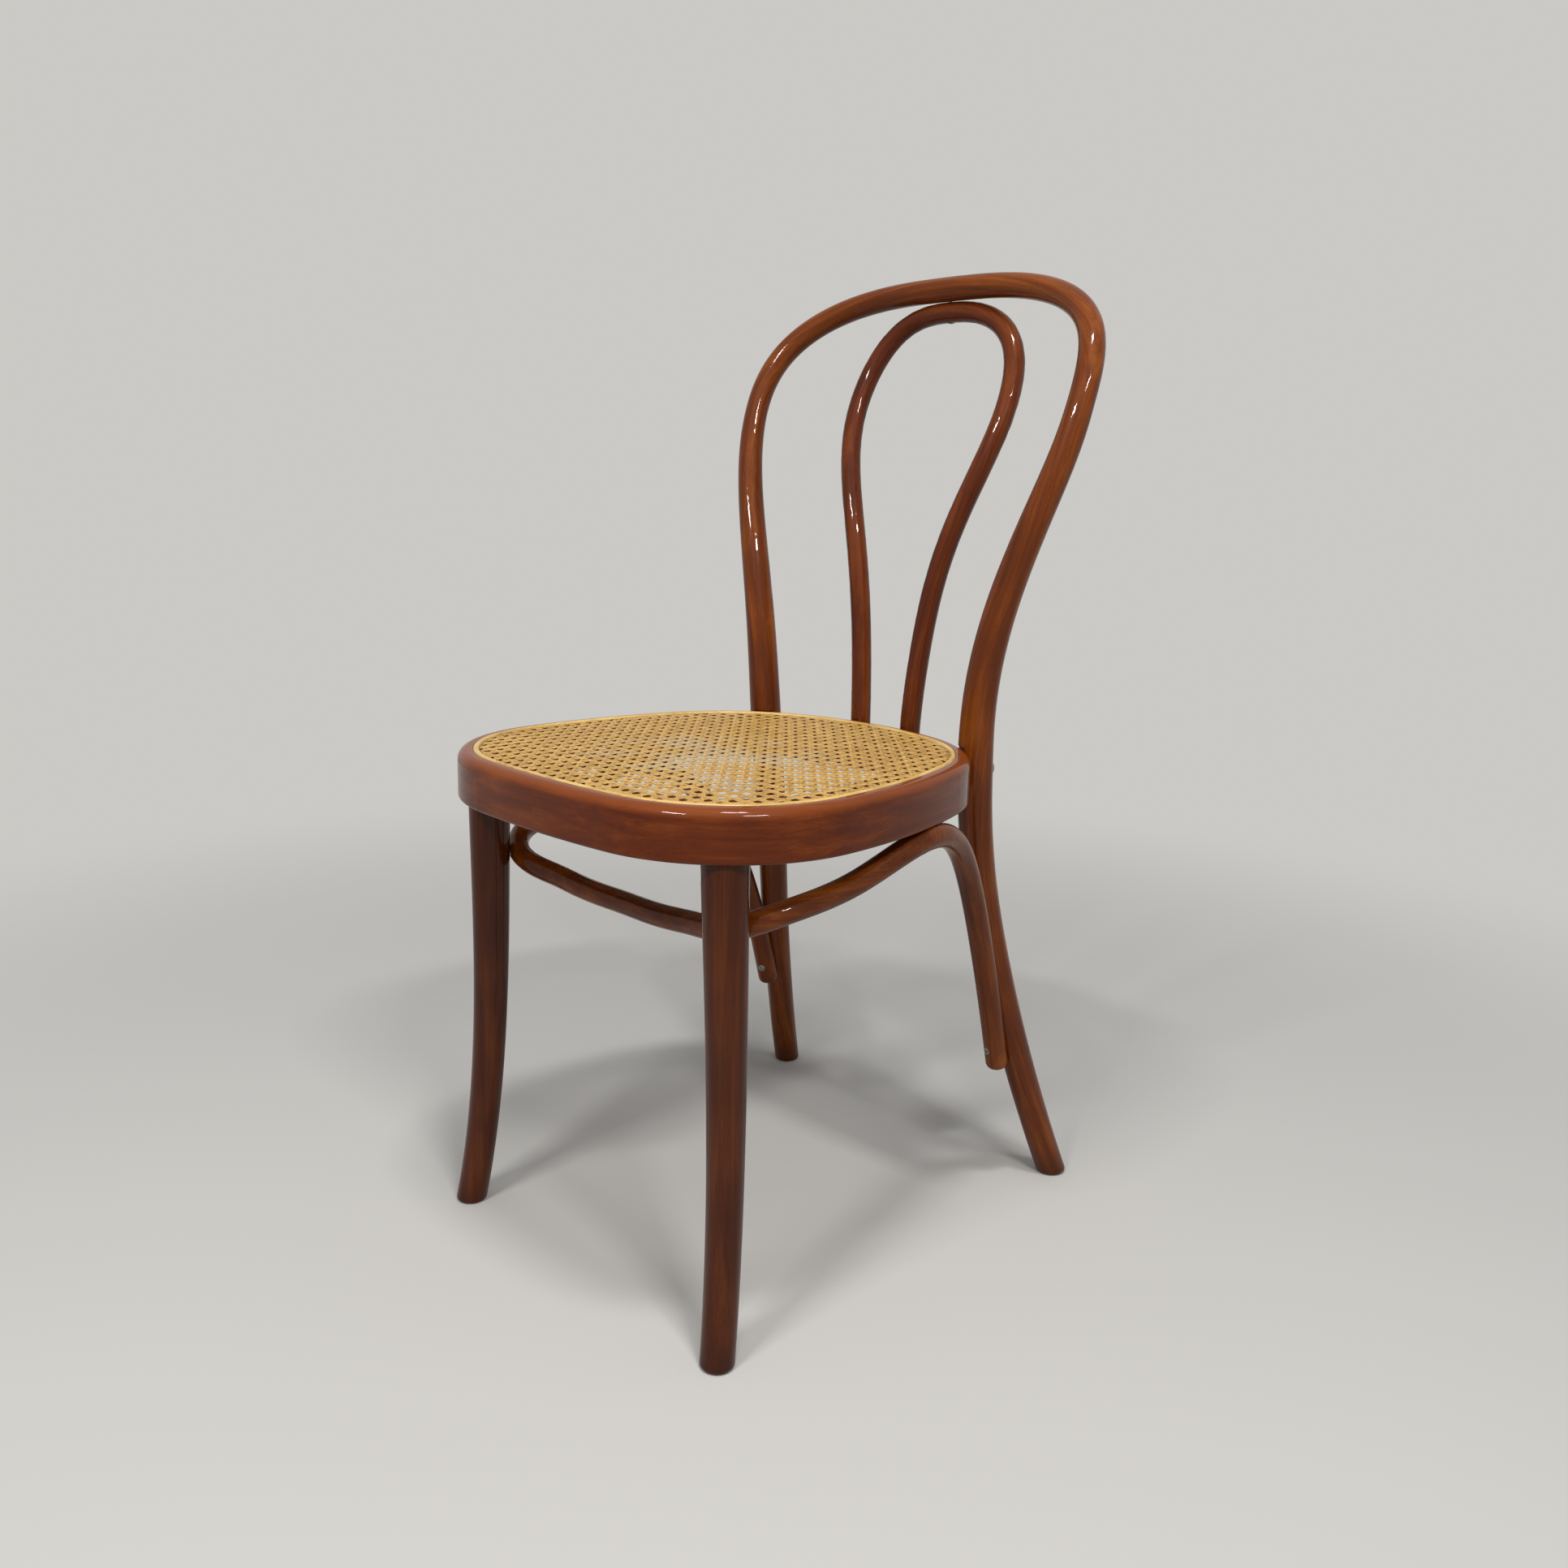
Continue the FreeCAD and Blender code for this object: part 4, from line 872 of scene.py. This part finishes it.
diagonal_left = woven(
    [strand_cell("cell", Vector((PITCH / 2, 0, 0)), along_y - along_x, DIAGONAL_STRAND, over_first)],
    "cane_diagonal_left", [along_y - along_x, along_x],
)

# %% [markdown]
# Cane finish
#
# Cane is the skin of the rattan vine: straw yellow, slightly glossy on top
# and duller underneath. Where a strand lies low, under its neighbours and
# dipping into the groove, it is darkened with painted shade. Each strand
# differs a little from the next, and fibres run along it. Where people sat,
# the skin is worn to a greyish bare patch.

# %% Rattan cane
CANE_PALE = "#c9a258"
CANE_MID = "#b1863d"
CANE_DARK = "#8f672a"
# Painted shade: the colour that strands turn towards where they lie low.
CANE_PAINTED_SHADE = "#6b4718"
CANE_WORN = "#b3a07c"
FIBRE_WIDTH = 0.5 * MM
FIBRE_LENGTH = 30 * MM
STRAND_TONE_WIDTH = 2.6 * MM
STRAND_TONE_LENGTH = 130 * MM
STRAND_SHARE = 0.7
FIBRE_SHARE = 0.3
CANE_STOPS = [(0.34, CANE_DARK), (0.48, CANE_MID), (0.62, CANE_PALE)]
WORN_PATCH = 45 * MM
WORN_MIDDLE = (0.02, SEAT_CENTRE_Y - 0.03, SEAT_TOP)
WORN_NEAR = 0.05
WORN_FAR = 0.17
MORE_WORN_NEAR = 0.22
LESS_WORN_FAR = -0.1
WORN_LOW = 0.58
WORN_HIGH = 0.78
WORN_STRENGTH = 0.55
CANE_PAINTED_SHADE_STRENGTH = 0.85


def rattan_cane(name, turned):
    """Cane whose strands run along Y, turned by an angle in plan."""
    material, tree, output = new_material(name)
    place = add(tree, "ShaderNodeTexCoord").outputs["Object"]
    laid = add(tree, "ShaderNodeMapping", {"Vector": place, "Rotation": (0, 0, -turned)}).outputs[0]
    axes = add(tree, "ShaderNodeSeparateXYZ", {0: laid}).outputs
    grain = add(tree, "ShaderNodeCombineXYZ", {"X": axes["X"], "Y": axes["Z"], "Z": axes["Y"]}).outputs[0]
    strands = stretched_noise(tree, grain, STRAND_TONE_WIDTH, STRAND_TONE_LENGTH, 1.0)
    fibres = stretched_noise(tree, grain, FIBRE_WIDTH, FIBRE_LENGTH, 2.0)
    tone = add(tree, "ShaderNodeMath", {0: strands, 1: STRAND_SHARE}, operation="MULTIPLY").outputs[0]
    tone = add(
        tree, "ShaderNodeMath", {0: fibres, 1: FIBRE_SHARE, 2: tone}, operation="MULTIPLY_ADD"
    ).outputs[0]
    skin = add(tree, "ShaderNodeValToRGB", {"Fac": tone})
    fill_ramp(skin.color_ramp.elements, CANE_STOPS)
    cloud = add(
        tree, "ShaderNodeTexNoise", {"Vector": place, "Scale": 1 / WORN_PATCH, "Detail": 4.0}
    ).outputs["Fac"]
    centred = add(tree, "ShaderNodeVectorMath", {0: place, 1: WORN_MIDDLE}, operation="SUBTRACT").outputs[0]
    reach = add(tree, "ShaderNodeVectorMath", {0: centred}, operation="LENGTH").outputs["Value"]
    middle = add(
        tree, "ShaderNodeMapRange",
        {
            "Value": reach, "From Min": WORN_NEAR, "From Max": WORN_FAR,
            "To Min": MORE_WORN_NEAR, "To Max": LESS_WORN_FAR,
        },
    ).outputs["Result"]
    worn = add(tree, "ShaderNodeMath", {0: cloud, 1: middle}, operation="ADD").outputs[0]
    worn = add(
        tree, "ShaderNodeMapRange",
        {
            "Value": worn, "From Min": WORN_LOW, "From Max": WORN_HIGH,
            "To Min": 0.0, "To Max": WORN_STRENGTH,
        },
    ).outputs["Result"]
    skin = add(
        tree, "ShaderNodeMix", {"Factor": worn, "A": skin.outputs["Color"], "B": linear(CANE_WORN)},
        data_type="RGBA",
    )
    # Painted shade: the lower a strand lies, under its neighbours or dipped into the groove, the more it
    # turns to the shade colour.
    strand_painted_shade = add(
        tree, "ShaderNodeMapRange",
        {
            "Value": axes["Z"], "From Min": WEAVE_MIDDLE.z - FULL, "From Max": WEAVE_MIDDLE.z + HALF / 2,
            "To Min": CANE_PAINTED_SHADE_STRENGTH, "To Max": 0.0,
        },
    ).outputs["Result"]
    skin = add(
        tree, "ShaderNodeMix", {"Factor": strand_painted_shade, "A": skin.outputs["Result"], "B": linear(CANE_PAINTED_SHADE)},
        data_type="RGBA",
    ).outputs["Result"]
    bump = add(
        tree, "ShaderNodeBump", {"Height": fibres, "Strength": 0.4, "Distance": 0.08 * MM}
    ).outputs["Normal"]
    shader = add(
        tree, "ShaderNodeBsdfPrincipled",
        {"Base Color": skin, "Roughness": 0.45, "Normal": bump, "Coat Weight": 0.25, "Coat Roughness": 0.3},
    )
    tree.links.new(shader.outputs[0], output.inputs["Surface"])
    return material


for weave, turned in (
    (front_to_back, WEAVE_TURN),
    (side_to_side, WEAVE_TURN + math.radians(90)),
    (diagonal_right, WEAVE_TURN - math.radians(45)),
    (diagonal_left, WEAVE_TURN + math.radians(45)),
):
    weave.data.materials.append(rattan_cane("rattan_cane_" + weave.name, turned))
    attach(weave, "root")
    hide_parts("cane_panel")

# %% [markdown]
# Sizes, and the end
#
# The frame's box is printed at the start. Here the finished chair's box is
# compared with it, and how far it grew is printed.

# %% Box before and after
low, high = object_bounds()
growth = [round(abs(a - b) / MM, 2) for a, b in zip((*low, *high), (*cad_low, *cad_high))]
print("box grew by mm:", growth)
